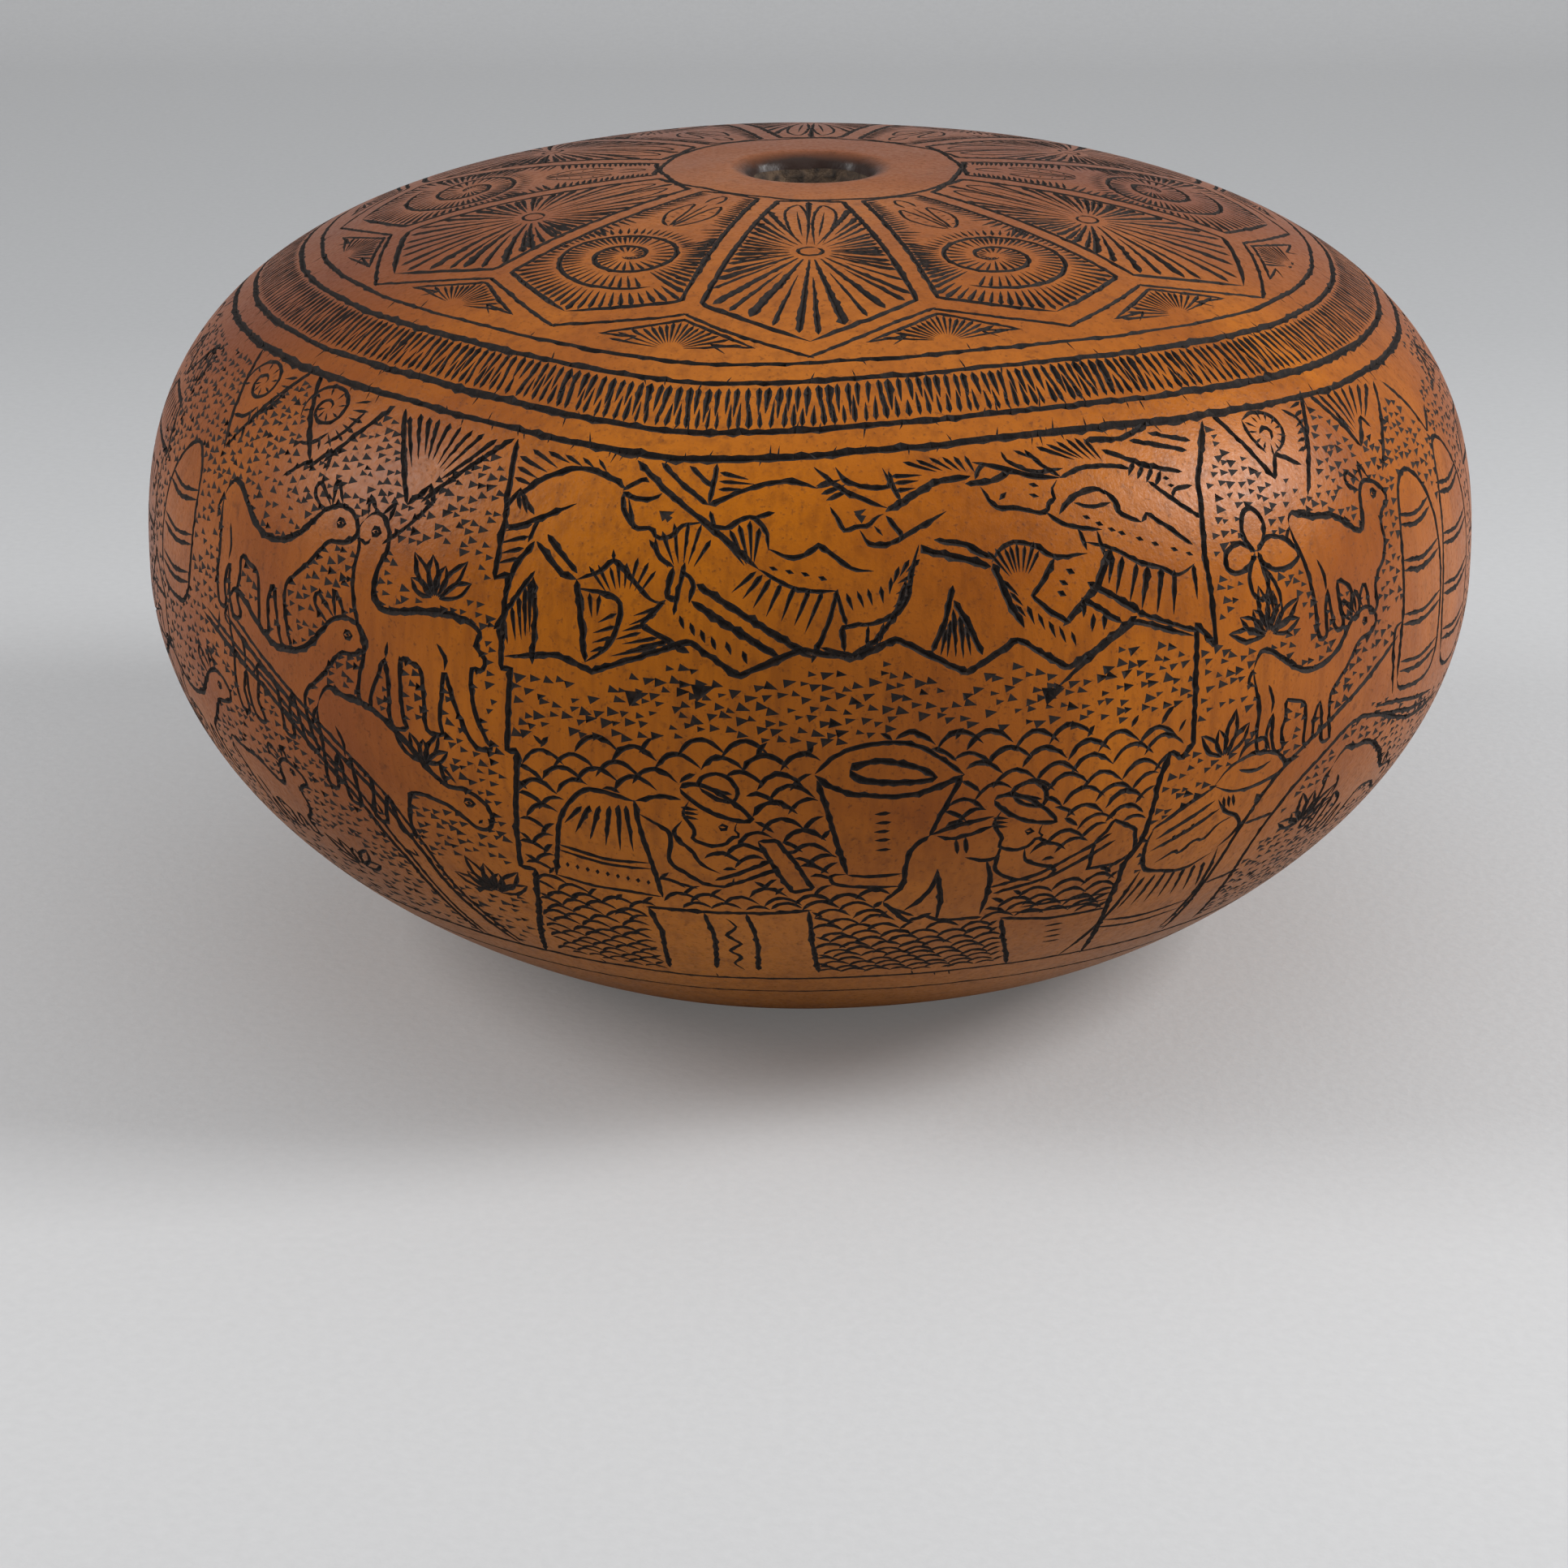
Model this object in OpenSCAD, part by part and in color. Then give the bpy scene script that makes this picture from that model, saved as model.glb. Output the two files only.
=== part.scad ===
// Carved whole gourd: woody rind with inlaid soot rings, soft pith lining,
// dried pulp with its seeds, and four loose seeds that rattle inside.
// Millimetres, +Z up, the flat under the gourd lies on z = 0.

/* [View] */
// node to draw, or all

/* [Gourd] */
// greatest width
gourd_width = 140; // [100:1:200]
// height of the shoulder above the widest line, as a share of half the width
shoulder_share = 0.575; // [0.45:0.005:0.65]
// height of the widest line above the base, as a share of half the width
belly_share = 0.6; // [0.5:0.01:0.65]
// squareness of the shoulder
shoulder_power = 2.7; // [2:0.05:3]
// squareness of the belly
belly_power = 1.95; // [1.8:0.05:3]
// depth that the belly curve would reach if it had no flat base, as a share of half the width
belly_round = 0.667; // [0.65:0.001:0.8]
// thickness of the hard rind
rind_wall = 3.2; // [2:0.1:5]
// thickness of the soft pith behind the rind
pith_wall = 1.8; // [1:0.1:3]
// rise of the hollow under the base
base_hollow = 2.2; // [1:0.1:4]

/* [Stem pit] */
// radius of the pit at its lip
pit_radius = 6.3; // [4:0.1:9]
// radius of the hole that the cork plugs
cork_radius = 5.4; // [3:0.1:7]
// depth of the cork face under the lip
pit_depth = 3.4; // [2:0.1:5]
// radius of the dried blossom end under the base
blossom_radius = 2.6; // [1.5:0.1:4]

/* [Engraved rings] */
// width of an engraved ring at the skin
ring_width = 1.0; // [0.6:0.1:1.6]
// depth of an engraved ring
ring_depth = 0.6; // [0.3:0.1:1]
// how far the soot lies under the skin
soot_sunk = 0.12; // [0.05:0.01:0.3]
// radii of the six rings as shares of half the width
ring_star = 0.736; // [0.7:0.001:0.8]
ring_hatch_top = 0.766; // [0.74:0.001:0.82]
ring_hatch_foot = 0.836; // [0.8:0.001:0.86]
ring_panel_top = 0.867; // [0.85:0.001:0.9]
ring_panel_foot = 0.793; // [0.75:0.001:0.85]
ring_foot = 0.74; // [0.68:0.001:0.75]

/* [Seeds] */
// length of a seed
seed_length = 13; // [10:0.5:18]
// width of a seed
seed_width = 7.4; // [5:0.1:10]
// thickness of a seed
seed_thick = 2.6; // [2:0.1:4]
// distance of the loose seeds from the middle
seed_reach = 25; // [24:1:34]
// gap between a loose seed and the pith it lies on
seed_gap = 0.35; // [0.3:0.05:1]

/* [Hidden] */
half = gourd_width / 2;
belly_z = belly_share * half;
shoulder_h = shoulder_share * half;
belly_h = belly_round * half;
$fn = 120;

// a point of the shoulder or belly curve at parameter angle t
function curve(t, h, n) =
  [half * pow(max(cos(t), 0), 2 / n), h * pow(max(sin(t), 0), 2 / n)];
function shoulder(t) =
  let (p = curve(t, shoulder_h, shoulder_power)) [p[0], belly_z + p[1]];
function belly(t) =
  let (p = curve(t, belly_h, belly_power)) [p[0], belly_z - p[1]];
function angle_at(share, n) = acos(pow(share, n / 2));

// the belly curve runs into the flat base by a parabola that starts at foot_r
foot_r = 0.58 * half;
foot_t = angle_at(foot_r / half, belly_power);
foot_z = belly(foot_t)[1];
foot_slope = belly_h / half * pow(foot_r / half, belly_power - 1)
  * pow(1 - pow(foot_r / half, belly_power), 1 / belly_power - 1);
flat_out = foot_r - 2 * foot_z / foot_slope;
flat_in = flat_out - 4;
function foot(r) = [r, foot_z * pow((r - flat_out) / (foot_r - flat_out), 2)];
function hollow(r) = [r, base_hollow * pow(1 - pow(r / flat_in, 2), 2)];

// engraved rings from the top down: [is on the shoulder, parameter angle]
t_star = angle_at(ring_star, shoulder_power);
t_hatch_top = angle_at(ring_hatch_top, shoulder_power);
t_hatch_foot = angle_at(ring_hatch_foot, shoulder_power);
t_panel_top = angle_at(ring_panel_top, shoulder_power);
t_panel_foot = angle_at(ring_panel_foot, belly_power);
t_foot = angle_at(ring_foot, belly_power);

function between(a, b, n) = [for (i = [1 : n - 1]) a + (b - a) * i / n];
function unit(v) = v / norm(v);
function inward(d) = [-d[1], d[0]];

// a notch across the curve, as four points from the top down
function notch_up(t) = let (p = shoulder(t), d = unit(shoulder(t - 1) - shoulder(t + 1)),
  m = -inward(d)) [p - d * ring_width / 2, p - d * ring_width / 5 + m * ring_depth,
  p + d * ring_width / 5 + m * ring_depth, p + d * ring_width / 2];
function notch_down(t) = let (p = belly(t), d = unit(belly(t + 1) - belly(t - 1)),
  m = -inward(d)) [p - d * ring_width / 2, p - d * ring_width / 5 + m * ring_depth,
  p + d * ring_width / 5 + m * ring_depth, p + d * ring_width / 2];
notches = [notch_up(t_star), notch_up(t_hatch_top), notch_up(t_hatch_foot),
  notch_up(t_panel_top), notch_down(t_panel_foot), notch_down(t_foot)];

// plain stretches of skin between the notches, from the pit lip to the flat
t_lip = angle_at(pit_radius * 1.35 / half, shoulder_power);
lip_top = shoulder(t_lip);
lip = [for (a = [0 : 15 : 90]) [pit_radius * 1.35 - pit_radius * 0.35 * sin(a),
  lip_top[1] - pit_radius * 0.35 * (1 - cos(a))]];
skin = [
  [for (t = concat([for (k = [1 : 11]) t_lip + (t_star - t_lip) * k / 12])) shoulder(t)],
  [],
  [for (t = between(t_hatch_top, t_hatch_foot, 2)) shoulder(t)],
  [],
  concat([for (t = between(t_panel_top, 0, 12)) shoulder(t)], [[half, belly_z]],
    [for (t = between(0, t_panel_foot, 12)) belly(t)]),
  [for (t = between(t_panel_foot, t_foot, 3)) belly(t)],
  concat([for (t = between(t_foot, foot_t, 2)) belly(t)],
    [for (k = [0 : 4]) foot(foot_r + (flat_out - foot_r) * k / 4)],
    [for (k = [0 : 7]) hollow(flat_in + (blossom_radius - flat_in) * k / 7)])];

// the same stretches without notches, for the surfaces behind the skin
smooth = concat([lip_top], skin[0], [shoulder(t_star)], [shoulder(t_hatch_top)], skin[2],
  [shoulder(t_hatch_foot)], [shoulder(t_panel_top)], skin[4], [belly(t_panel_foot)],
  skin[5], [belly(t_foot)], skin[6]);
// the skin line moved inward by w
function behind(w) = [for (i = [1 : len(smooth) - 2])
  smooth[i] + w * unit([-(smooth[i + 1][1] - smooth[i - 1][1]),
    smooth[i + 1][0] - smooth[i - 1][0]]) * -1];
function back(v) = [for (i = [len(v) - 1 : -1 : 0]) v[i]];
function first(v) = v[0];
function last(v) = v[len(v) - 1];

rind_back = behind(rind_wall);
pith_back = behind(rind_wall + pith_wall);
// a boss of rind round the cork, thicker than the wall
boss_r = cork_radius + 3;
boss_drop = 2.4;
rind_top_z = first(rind_back)[1] - boss_drop;
pith_top_z = rind_top_z - pith_wall;
rind_low_z = last(rind_back)[1];
pith_low_z = last(pith_back)[1];
skin_low_z = last(smooth)[1];
cork_z = lip_top[1] - pit_depth;

module rind_line() {
  polygon(concat([[cork_radius, rind_top_z]], back(lip_foot()), [lip_top], skin[0],
    notches[0], skin[1], notches[1], skin[2], notches[2], skin[3], notches[3], skin[4],
    notches[4], skin[5], notches[5], skin[6], [[blossom_radius, rind_low_z]],
    back(rind_back), [[boss_r, rind_top_z]]));
}
// the lip turns down into the pit and meets the wall of the cork's hole
function lip_foot() = concat([for (i = [1 : len(lip) - 1]) lip[i]],
  [[cork_radius, cork_z]]);

module rind_shell() {
  color([0.72, 0.42, 0.14]) rotate_extrude() rind_line();
}

module pith_lining() {
  color([0.86, 0.78, 0.62]) rotate_extrude()
    polygon(concat([[0, pith_top_z], [0, rind_top_z], [boss_r, rind_top_z]],
      rind_back, [[0, rind_low_z], [0, pith_low_z]],
      back(pith_back), [[boss_r, pith_top_z]]));
}

// corky scar where the stem sat, with a dished face
module stem_cork() {
  color([0.45, 0.38, 0.30]) difference() {
    rotate_extrude()
      polygon([[0, rind_top_z], [cork_radius, rind_top_z], [cork_radius, cork_z],
        [cork_radius * 0.85, cork_z - 0.5], [cork_radius * 0.5, cork_z - 0.9],
        [0, cork_z - 0.7]]);
    stem_strands();
  }
}

// stubs of the stem's fibre strands, rooted in the cork
module stem_strands() {
  color([0.40, 0.26, 0.14])
    for (i = [0 : 6]) rotate([0, 0, i * 360 / 7 + 9]) translate([cork_radius * 0.5, 0, cork_z - 1.2])
      cylinder(h = 1.8 + 0.4 * (i % 3), r1 = 0.5, r2 = 0.25, $fn = 24);
}

// dried blossom end in the middle of the base
module blossom_end() {
  color([0.30, 0.22, 0.15]) rotate_extrude()
    polygon([[0, rind_low_z], [blossom_radius, rind_low_z], [blossom_radius, skin_low_z],
      [blossom_radius * 0.7, skin_low_z - 0.35], [0, skin_low_z - 0.5]]);
}

// soot rubbed into one engraved ring, a little under the skin
module soot(i) {
  n = notches[i];
  k = soot_sunk / ring_depth;
  color([0.10, 0.09, 0.09]) rotate_extrude()
    polygon([n[0] + (n[1] - n[0]) * k, n[1], n[2], n[3] + (n[2] - n[3]) * k]);
}
module soot_ring_star() { soot(0); }
module soot_ring_hatch_top() { soot(1); }
module soot_ring_hatch_foot() { soot(2); }
module soot_ring_panel_top() { soot(3); }
module soot_ring_panel_foot() { soot(4); }
module soot_ring_foot() { soot(5); }

// a seed lying flat with its tip towards +X: body, and a thinner rim around it
module seed_shape() {
  l = seed_length / 2;
  w = seed_width / 2;
  translate([0, 0, seed_thick * 0.3]) linear_extrude(seed_thick * 0.4)
    polygon([[-l, -w * 0.72], [-l * 0.9, -w], [-l * 0.55, -w * 0.95], [l * 0.35, -w * 0.8],
      [l * 0.8, -w * 0.5], [l, -w * 0.2], [l, w * 0.2], [l * 0.8, w * 0.5],
      [l * 0.35, w * 0.8], [-l * 0.55, w * 0.95], [-l * 0.9, w], [-l, w * 0.72],
      [-l * 0.93, 0]]);
  linear_extrude(seed_thick)
    polygon([[-l * 0.8, -w * 0.7], [l * 0.3, -w * 0.6], [l * 0.75, -w * 0.25],
      [l * 0.75, w * 0.25], [l * 0.3, w * 0.6], [-l * 0.8, w * 0.7]]);
}

// shrunken pulp: a waisted column from the pith at the top to the pith at the base
core_foot = 9;
core_waist = 5.5;
core_head = 7;
core_span = pith_top_z - pith_low_z;
module core_line() {
  polygon([[0, pith_low_z], [core_foot, pith_low_z], [core_foot, pith_low_z + 0.6],
    [core_foot * 0.8, pith_low_z + core_span * 0.1],
    [core_waist, pith_low_z + core_span * 0.2], [core_waist, pith_low_z + core_span * 0.83],
    [core_head, pith_low_z + core_span * 0.94], [core_head, pith_top_z], [0, pith_top_z]]);
}
module held_places() {
  for (k = [0 : 2]) for (j = [0 : 2]) rotate([0, 0, 60 + k * 120 + (j - 1) * 14])
    translate([core_waist + 0.6, 0, pith_low_z + core_span * (0.31 + 0.215 * j)])
      rotate([0, 90, 0]) translate([0, 0, -1.2]) children();
}
module pulp_core() {
  color([0.70, 0.58, 0.38]) difference() {
    rotate_extrude() core_line();
    held_places() seed_shape();
  }
}
module held_seeds() {
  color([0.62, 0.45, 0.26]) held_places() seed_shape();
}

// three papery walls that once carried the seeds, from the core to the pith
module pulp_membranes() {
  color([0.80, 0.70, 0.50]) difference() {
    intersection() {
      for (k = [0 : 2]) rotate([0, 0, k * 120]) translate([0, -0.4, pith_low_z - 2])
        cube([half, 0.8, core_span + 6]);
      rotate_extrude() polygon(concat([[0, pith_top_z], [boss_r, pith_top_z]], pith_back,
        [[0, pith_low_z]]));
      rotate_extrude() polygon(membrane_line());
    }
    rotate_extrude() core_line();
  }
}
// torn inner edge: the walls stay on the pith and thin out towards the middle
function membrane_line() = [[0, 0], [half, 0], [half, belly_z * 2.2], [0, belly_z * 2.2],
  [0, belly_z + 24], [16, belly_z + 22], [30, belly_z + 15], [40, belly_z + 4],
  [41, belly_z - 6], [34, belly_z - 16], [20, belly_z - 22], [8, belly_z - 25],
  [0, belly_z - 25]];

module loose_seed(turn, tip) {
  color([0.66, 0.49, 0.29]) rotate([0, 0, turn])
    translate([seed_reach, 0, loose_z]) rotate([0, 0, 90 + tip]) seed_shape();
}
// the pith's face under the loose seeds, at its highest
loose_z = max([for (p = pith_back) if (p[1] < belly_z && p[0] > seed_reach - seed_width
  && p[0] < seed_reach + seed_width) p[1]]) + seed_gap;
module loose_seed_a() { loose_seed(38, 0); }
module loose_seed_b() { loose_seed(84, 8); }
module loose_seed_c() { loose_seed(176, -6); }
module loose_seed_d() { loose_seed(300, 4); }

rind_shell();
pith_lining();
stem_cork();
stem_strands();
blossom_end();
soot_ring_star();
soot_ring_hatch_top();
soot_ring_hatch_foot();
soot_ring_panel_top();
soot_ring_panel_foot();
soot_ring_foot();
pulp_core();
pulp_membranes();
held_seeds();
loose_seed_a();
loose_seed_b();
loose_seed_c();
loose_seed_d();
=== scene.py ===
"""Dresses the carved gourd: engraved skin, soot in the lines, corky stem pit, seeds and pulp."""

import math

import bmesh
import bpy
import numpy as np
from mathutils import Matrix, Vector
from mathutils.geometry import delaunay_2d_cdt


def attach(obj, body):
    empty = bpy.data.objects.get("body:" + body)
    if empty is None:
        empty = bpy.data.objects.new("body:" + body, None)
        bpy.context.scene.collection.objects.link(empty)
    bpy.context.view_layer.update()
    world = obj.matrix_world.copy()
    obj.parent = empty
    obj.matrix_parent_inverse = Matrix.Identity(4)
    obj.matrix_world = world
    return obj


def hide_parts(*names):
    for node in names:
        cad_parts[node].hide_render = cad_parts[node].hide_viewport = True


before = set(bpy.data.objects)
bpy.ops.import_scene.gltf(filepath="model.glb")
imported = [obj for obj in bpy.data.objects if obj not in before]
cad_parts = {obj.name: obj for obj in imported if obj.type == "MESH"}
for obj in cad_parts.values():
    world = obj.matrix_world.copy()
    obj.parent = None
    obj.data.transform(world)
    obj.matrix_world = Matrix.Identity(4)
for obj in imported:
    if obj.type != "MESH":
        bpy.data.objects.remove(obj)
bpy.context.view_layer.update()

MM = 0.001
TAU = 2 * math.pi
rng = np.random.default_rng(1207)

# The gourd's outline, in millimetres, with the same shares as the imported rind.
HALF = 70.0
SHOULDER, SHOULDER_POWER = 0.575 * HALF, 2.7
BELLY, BELLY_POWER = 0.667 * HALF, 1.95
BASE_DROP = 0.6 * HALF
FOOT_R = 0.58 * HALF
BASE_HOLLOW = 2.2
PIT_R = 6.3
LIP_R = PIT_R * 1.35
BLOSSOM_R = 2.6
CROWN_STEPS = 500
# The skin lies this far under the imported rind, so that its unevenness stays within it.
SKIN_SINK = 0.28
DEEPEST_CUT = 0.4
# Columns of the turned parts of the skin, and of the chart's two long edges.
COLUMNS = 240


def outline_points():
    """Radius and height from the pit's lip down to the middle of the base."""
    lip_t = math.acos((LIP_R / HALF) ** (SHOULDER_POWER / 2))
    t = np.linspace(lip_t, 0, CROWN_STEPS)
    top_r = HALF * np.maximum(np.cos(t), 0) ** (2 / SHOULDER_POWER)
    top_z = SHOULDER * np.maximum(np.sin(t), 0) ** (2 / SHOULDER_POWER)
    foot_t = math.acos((FOOT_R / HALF) ** (BELLY_POWER / 2))
    t = np.linspace(0, foot_t, 300)[1:]
    low_r = HALF * np.cos(t) ** (2 / BELLY_POWER)
    low_z = -BELLY * np.sin(t) ** (2 / BELLY_POWER)
    rise = BASE_DROP + low_z[-1]
    share = FOOT_R / HALF
    slope = BELLY / HALF * share ** (BELLY_POWER - 1) * (1 - share**BELLY_POWER) ** (1 / BELLY_POWER - 1)
    flat_out = FOOT_R - 2 * rise / slope
    flat_in = flat_out - 4
    foot_r = np.linspace(FOOT_R, flat_out, 60)[1:]
    foot_z = -BASE_DROP + rise * ((foot_r - flat_out) / (FOOT_R - flat_out)) ** 2
    in_r = np.linspace(flat_in, BLOSSOM_R, 60)
    in_z = -BASE_DROP + BASE_HOLLOW * (1 - (in_r / flat_in) ** 2) ** 2
    radius = np.concatenate([top_r, low_r, foot_r, in_r])
    height = np.concatenate([top_z, low_z, foot_z, in_z]) + BASE_DROP
    return radius, height, CROWN_STEPS - 1


LINE_R, LINE_Z, EQUATOR = outline_points()
_step = np.hypot(np.diff(LINE_R), np.diff(LINE_Z))
# Height on the skin, in chart millimetres: a chart keeps every small shape's angles.
_climb = np.concatenate([[0], np.cumsum(_step / (0.5 * (LINE_R[1:] + LINE_R[:-1])))])
LINE_Y = (_climb[EQUATOR] - _climb) * HALF
_dr, _dz = np.gradient(LINE_R), np.gradient(LINE_Z)
_len = np.hypot(_dr, _dz)
LINE_NR, LINE_NZ = -_dz / _len, _dr / _len
FULL_TURN = TAU * HALF
CELL = FULL_TURN / 12
# The chart's left edge, between two cells of the star at the back.
SEAM = -FULL_TURN / 2 - CELL / 2
TOP_Y, FOOT_Y = 134.0, -52.0


def along(y, values):
    return np.interp(y, LINE_Y[::-1], values[::-1])


def stretch(y):
    """Chart millimetres to one real millimetre at chart height y."""
    return HALF / along(y, LINE_R)


def skin(x, y, sink=0.0):
    """Points in metres at chart places x, y, sunk under the skin by sink millimetres."""
    x, y = np.asarray(x, float), np.asarray(y, float)
    turn = x / HALF
    r, z = along(y, LINE_R), along(y, LINE_Z)
    nr, nz = along(y, LINE_NR), along(y, LINE_NZ)
    climb = y / HALF
    fade = np.clip((LINE_Y[0] - y) / 30, 0, 1) * np.clip((y + 100) / 40, 0, 1)
    uneven = 0.11 * np.sin(2 * turn + 1.1 + climb) + 0.07 * np.sin(3 * turn - 0.6 + 2 * climb)
    uneven = uneven + 0.04 * np.sin(7 * turn + 3 * climb) + 0.03 * np.sin(5 * climb + 4 * turn + 2)
    off = -SKIN_SINK + uneven * fade - sink
    return np.stack([(r + nr * off) * np.sin(turn), -(r + nr * off) * np.cos(turn), z + nz * off], -1) * MM


def skin_normals(x, y):
    """Which way the uncut skin faces at chart places x, y."""
    h = 0.4
    across = skin(x + h, y) - skin(x - h, y)
    up = skin(x, y + h) - skin(x, y - h)
    n = np.cross(across, up)
    return n / np.linalg.norm(n, axis=-1, keepdims=True)


# Engraving. Every cut is a strip in chart millimetres: a path with a left and a right reach.
cuts = []
# How far round the gourd the scene being cut is set from the place it was drawn for.
OFFSET = [0.0]


def set_round(path):
    """Moves a path round to its place and lets its top follow the ring lines there."""
    if not OFFSET[0]:
        return path
    x, y = path[:, 0], path[:, 1]
    weight = np.clip((y + 5) / 35, 0, 1)
    return np.stack([x + OFFSET[0], y + (wobble(x + OFFSET[0]) - wobble(x)) * weight], 1)


def lengths(path):
    return np.concatenate([[0], np.cumsum(np.hypot(*np.diff(path, axis=0).T))])


def curve(points, per=5, closed=False):
    """A smooth line through given points."""
    p = np.array(points, float)
    if closed:
        p = np.vstack([p[-1], p, p[0], p[1]])
    else:
        p = np.vstack([2 * p[0] - p[1], p, 2 * p[-1] - p[-2]])
    out = []
    for i in range(1, len(p) - 2):
        a, b, c, d = p[i - 1], p[i], p[i + 1], p[i + 2]
        for t in np.arange(per) / per:
            bend, twist = 2 * a - 5 * b + 4 * c - d, 3 * b - a - 3 * c + d
            out.append(0.5 * (2 * b + (c - a) * t + bend * t**2 + twist * t**3))
    out.append(p[-2])
    return np.array(out)


def looped(line):
    return np.vstack([line, line[:1]])


def sampled(points, step):
    """A path of even steps, about step real millimetres long."""
    path = np.array(points, float)
    s = lengths(path)
    real = s[-1] / float(np.mean(stretch(path[:, 1])))
    n = max(3, int(round(real / step)) + 1)
    at = np.linspace(0, s[-1], n)
    return np.stack([np.interp(at, s, path[:, 0]), np.interp(at, s, path[:, 1])], 1)


# The scenes are cut with one narrow graver, so their widths lie near one value.
EVEN_WIDTH = 0.45
# The star is cut with a finer one.
STAR_SHARE = 0.68


def cut(points, width, taper=(0.25, 0.25), rough=0.24, kind="scene"):
    """One push of the graver. width in real millimetres, tapers as shares of its length."""
    path = sampled(points, 0.5)
    if kind == "scene":
        width = EVEN_WIDTH + 0.5 * (width - EVEN_WIDTH)
    if kind == "star":
        width *= STAR_SHARE
    n = len(path)
    t = np.linspace(0, 1, n)
    rise = t / max(taper[0], 1e-3)
    fall = (1 - t) / max(taper[1], 1e-3)
    swell = 0.1 + 0.9 * np.clip(np.minimum(rise, fall), 0, 1) ** 0.75
    half = 0.5 * width * swell * stretch(path[:, 1])
    way = np.gradient(path, axis=0)
    way /= np.maximum(np.hypot(way[:, 0], way[:, 1]), 1e-9)[:, None]
    side = np.stack([-way[:, 1], way[:, 0]], 1)
    jag = 1 + rough * rng.uniform(-1, 1, (2, n))
    if n > 8:
        jag += (rng.random((2, n)) < 0.16) * rng.uniform(0.2, 0.65, (2, n)) * min(1, 2 * rough / 0.2)
    cuts.append((set_round(path), half * jag[0], half * jag[1], side, kind))


def punch(x, y, size, angle):
    """A small three-cornered punch mark."""
    k = stretch(y) * size
    d = np.array([math.cos(angle), math.sin(angle)])
    path = np.array([(x, y) - d * 0.45 * k, (x, y) + d * 0.65 * k])
    side = np.array([[-d[1], d[0]], [-d[1], d[0]]])
    back = 0.42 * k * rng.uniform(0.75, 1.25, 2)
    tip = 0.02 * k
    cuts.append((set_round(path), np.array([back[0], tip]), np.array([back[1], tip]), side, "scene"))


def inside(points, region):
    """Which points lie inside a closed outline."""
    p = np.atleast_2d(points)
    a = np.array(region, float)
    b = np.roll(a, -1, axis=0)
    hit = (a[None, :, 1] > p[:, None, 1]) != (b[None, :, 1] > p[:, None, 1])
    with np.errstate(divide="ignore", invalid="ignore"):
        xs = a[None, :, 0] + (p[:, None, 1] - a[None, :, 1]) * (b - a)[None, :, 0] / (b - a)[None, :, 1]
    return ((hit & (p[:, None, 0] < xs)).sum(1) % 2) == 1


def free(points, region, avoid):
    """Which points lie inside the region and off every shape to avoid."""
    ok = inside(points, region)
    for shape in avoid:
        ok &= ~inside(points, shape)
    return ok


def clipped(points, region, avoid):
    """The longest stretch of a path that is inside the region and off the shapes to avoid."""
    path = sampled(points, 0.45)
    ok = free(path, region, avoid)
    best, start = (0, 0), None
    for i, good in enumerate(list(ok) + [False]):
        if good and start is None:
            start = i
        if not good and start is not None:
            if i - start > best[1] - best[0]:
                best = (start, i)
            start = None
    return path[best[0] : best[1]]


def fat(points, reach):
    """A closed outline a little larger than the one given."""
    p = np.array(points, float)
    middle = p.mean(0)
    d = p - middle
    return middle + d * (1 + reach / np.maximum(np.hypot(d[:, 0], d[:, 1]), 1e-6))[:, None]


def stipple(region, gap, avoid=(), size=0.85):
    """Rows of small punch marks over a region, gap and size in real millimetres."""
    region = np.array(region, float)
    low, high = region.min(0), region.max(0)
    k = float(stretch((low[1] + high[1]) / 2))
    rows = np.arange(low[1], high[1], gap * k * 0.85)
    for i, y in enumerate(rows):
        for x in np.arange(low[0] + (i % 2) * gap * k * 0.5, high[0], gap * k):
            p = np.array([x, y]) + rng.uniform(-0.27, 0.27, 2) * gap * k
            if rng.random() < 0.07 or not free(p, region, avoid)[0]:
                continue
            punch(p[0], p[1], size * rng.uniform(0.75, 1.25), rng.uniform(-0.35, 0.35))


def scales(region, avoid, wide, high):
    """Overlapping arcs, row under row, like tilled ground."""
    region = np.array(region, float)
    low, top = region.min(0), region.max(0)
    y, row = top[1] + high * 0.3, 0
    while y > low[1] - high:
        scale = 1 - 0.3 * (top[1] - y) / (top[1] - low[1] + 1e-6)
        w, h = wide * scale, high * scale
        for x in np.arange(low[0] - (row % 2) * w * 0.5, top[0] + w, w):
            x0 = x + rng.uniform(-0.14, 0.14) * w
            y0 = y + rng.uniform(-0.18, 0.18) * h + 0.5 * math.sin(x * 0.21)
            arc = [(x0 - 0.52 * w, y0 - 0.82 * h), (x0 - 0.3 * w, y0 - 0.26 * h), (x0 + 0.02 * w, y0),
                   (x0 + 0.34 * w, y0 - 0.2 * h), (x0 + 0.62 * w, y0 - 0.62 * h)]
            piece = clipped(curve(arc, 4), region, avoid)
            if len(piece) > 3:
                cut(piece, rng.uniform(0.4, 0.62), (0.2, 0.3))
        y -= h * 0.74
        row += 1


def fan(x, y, start, end, inner, outer, count, width):
    """Wedge rays that are wide outside and run out towards the middle."""
    for a in np.radians(np.linspace(start, end, count)):
        a += rng.uniform(-0.03, 0.03)
        grow = rng.uniform(0.88, 1.08)
        ray = [(x + math.cos(a) * outer * grow, y + math.sin(a) * outer * grow),
               (x + math.cos(a) * inner, y + math.sin(a) * inner)]
        cut(ray, width * rng.uniform(0.85, 1.15), (0.15, 0.9), 0.12)


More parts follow.
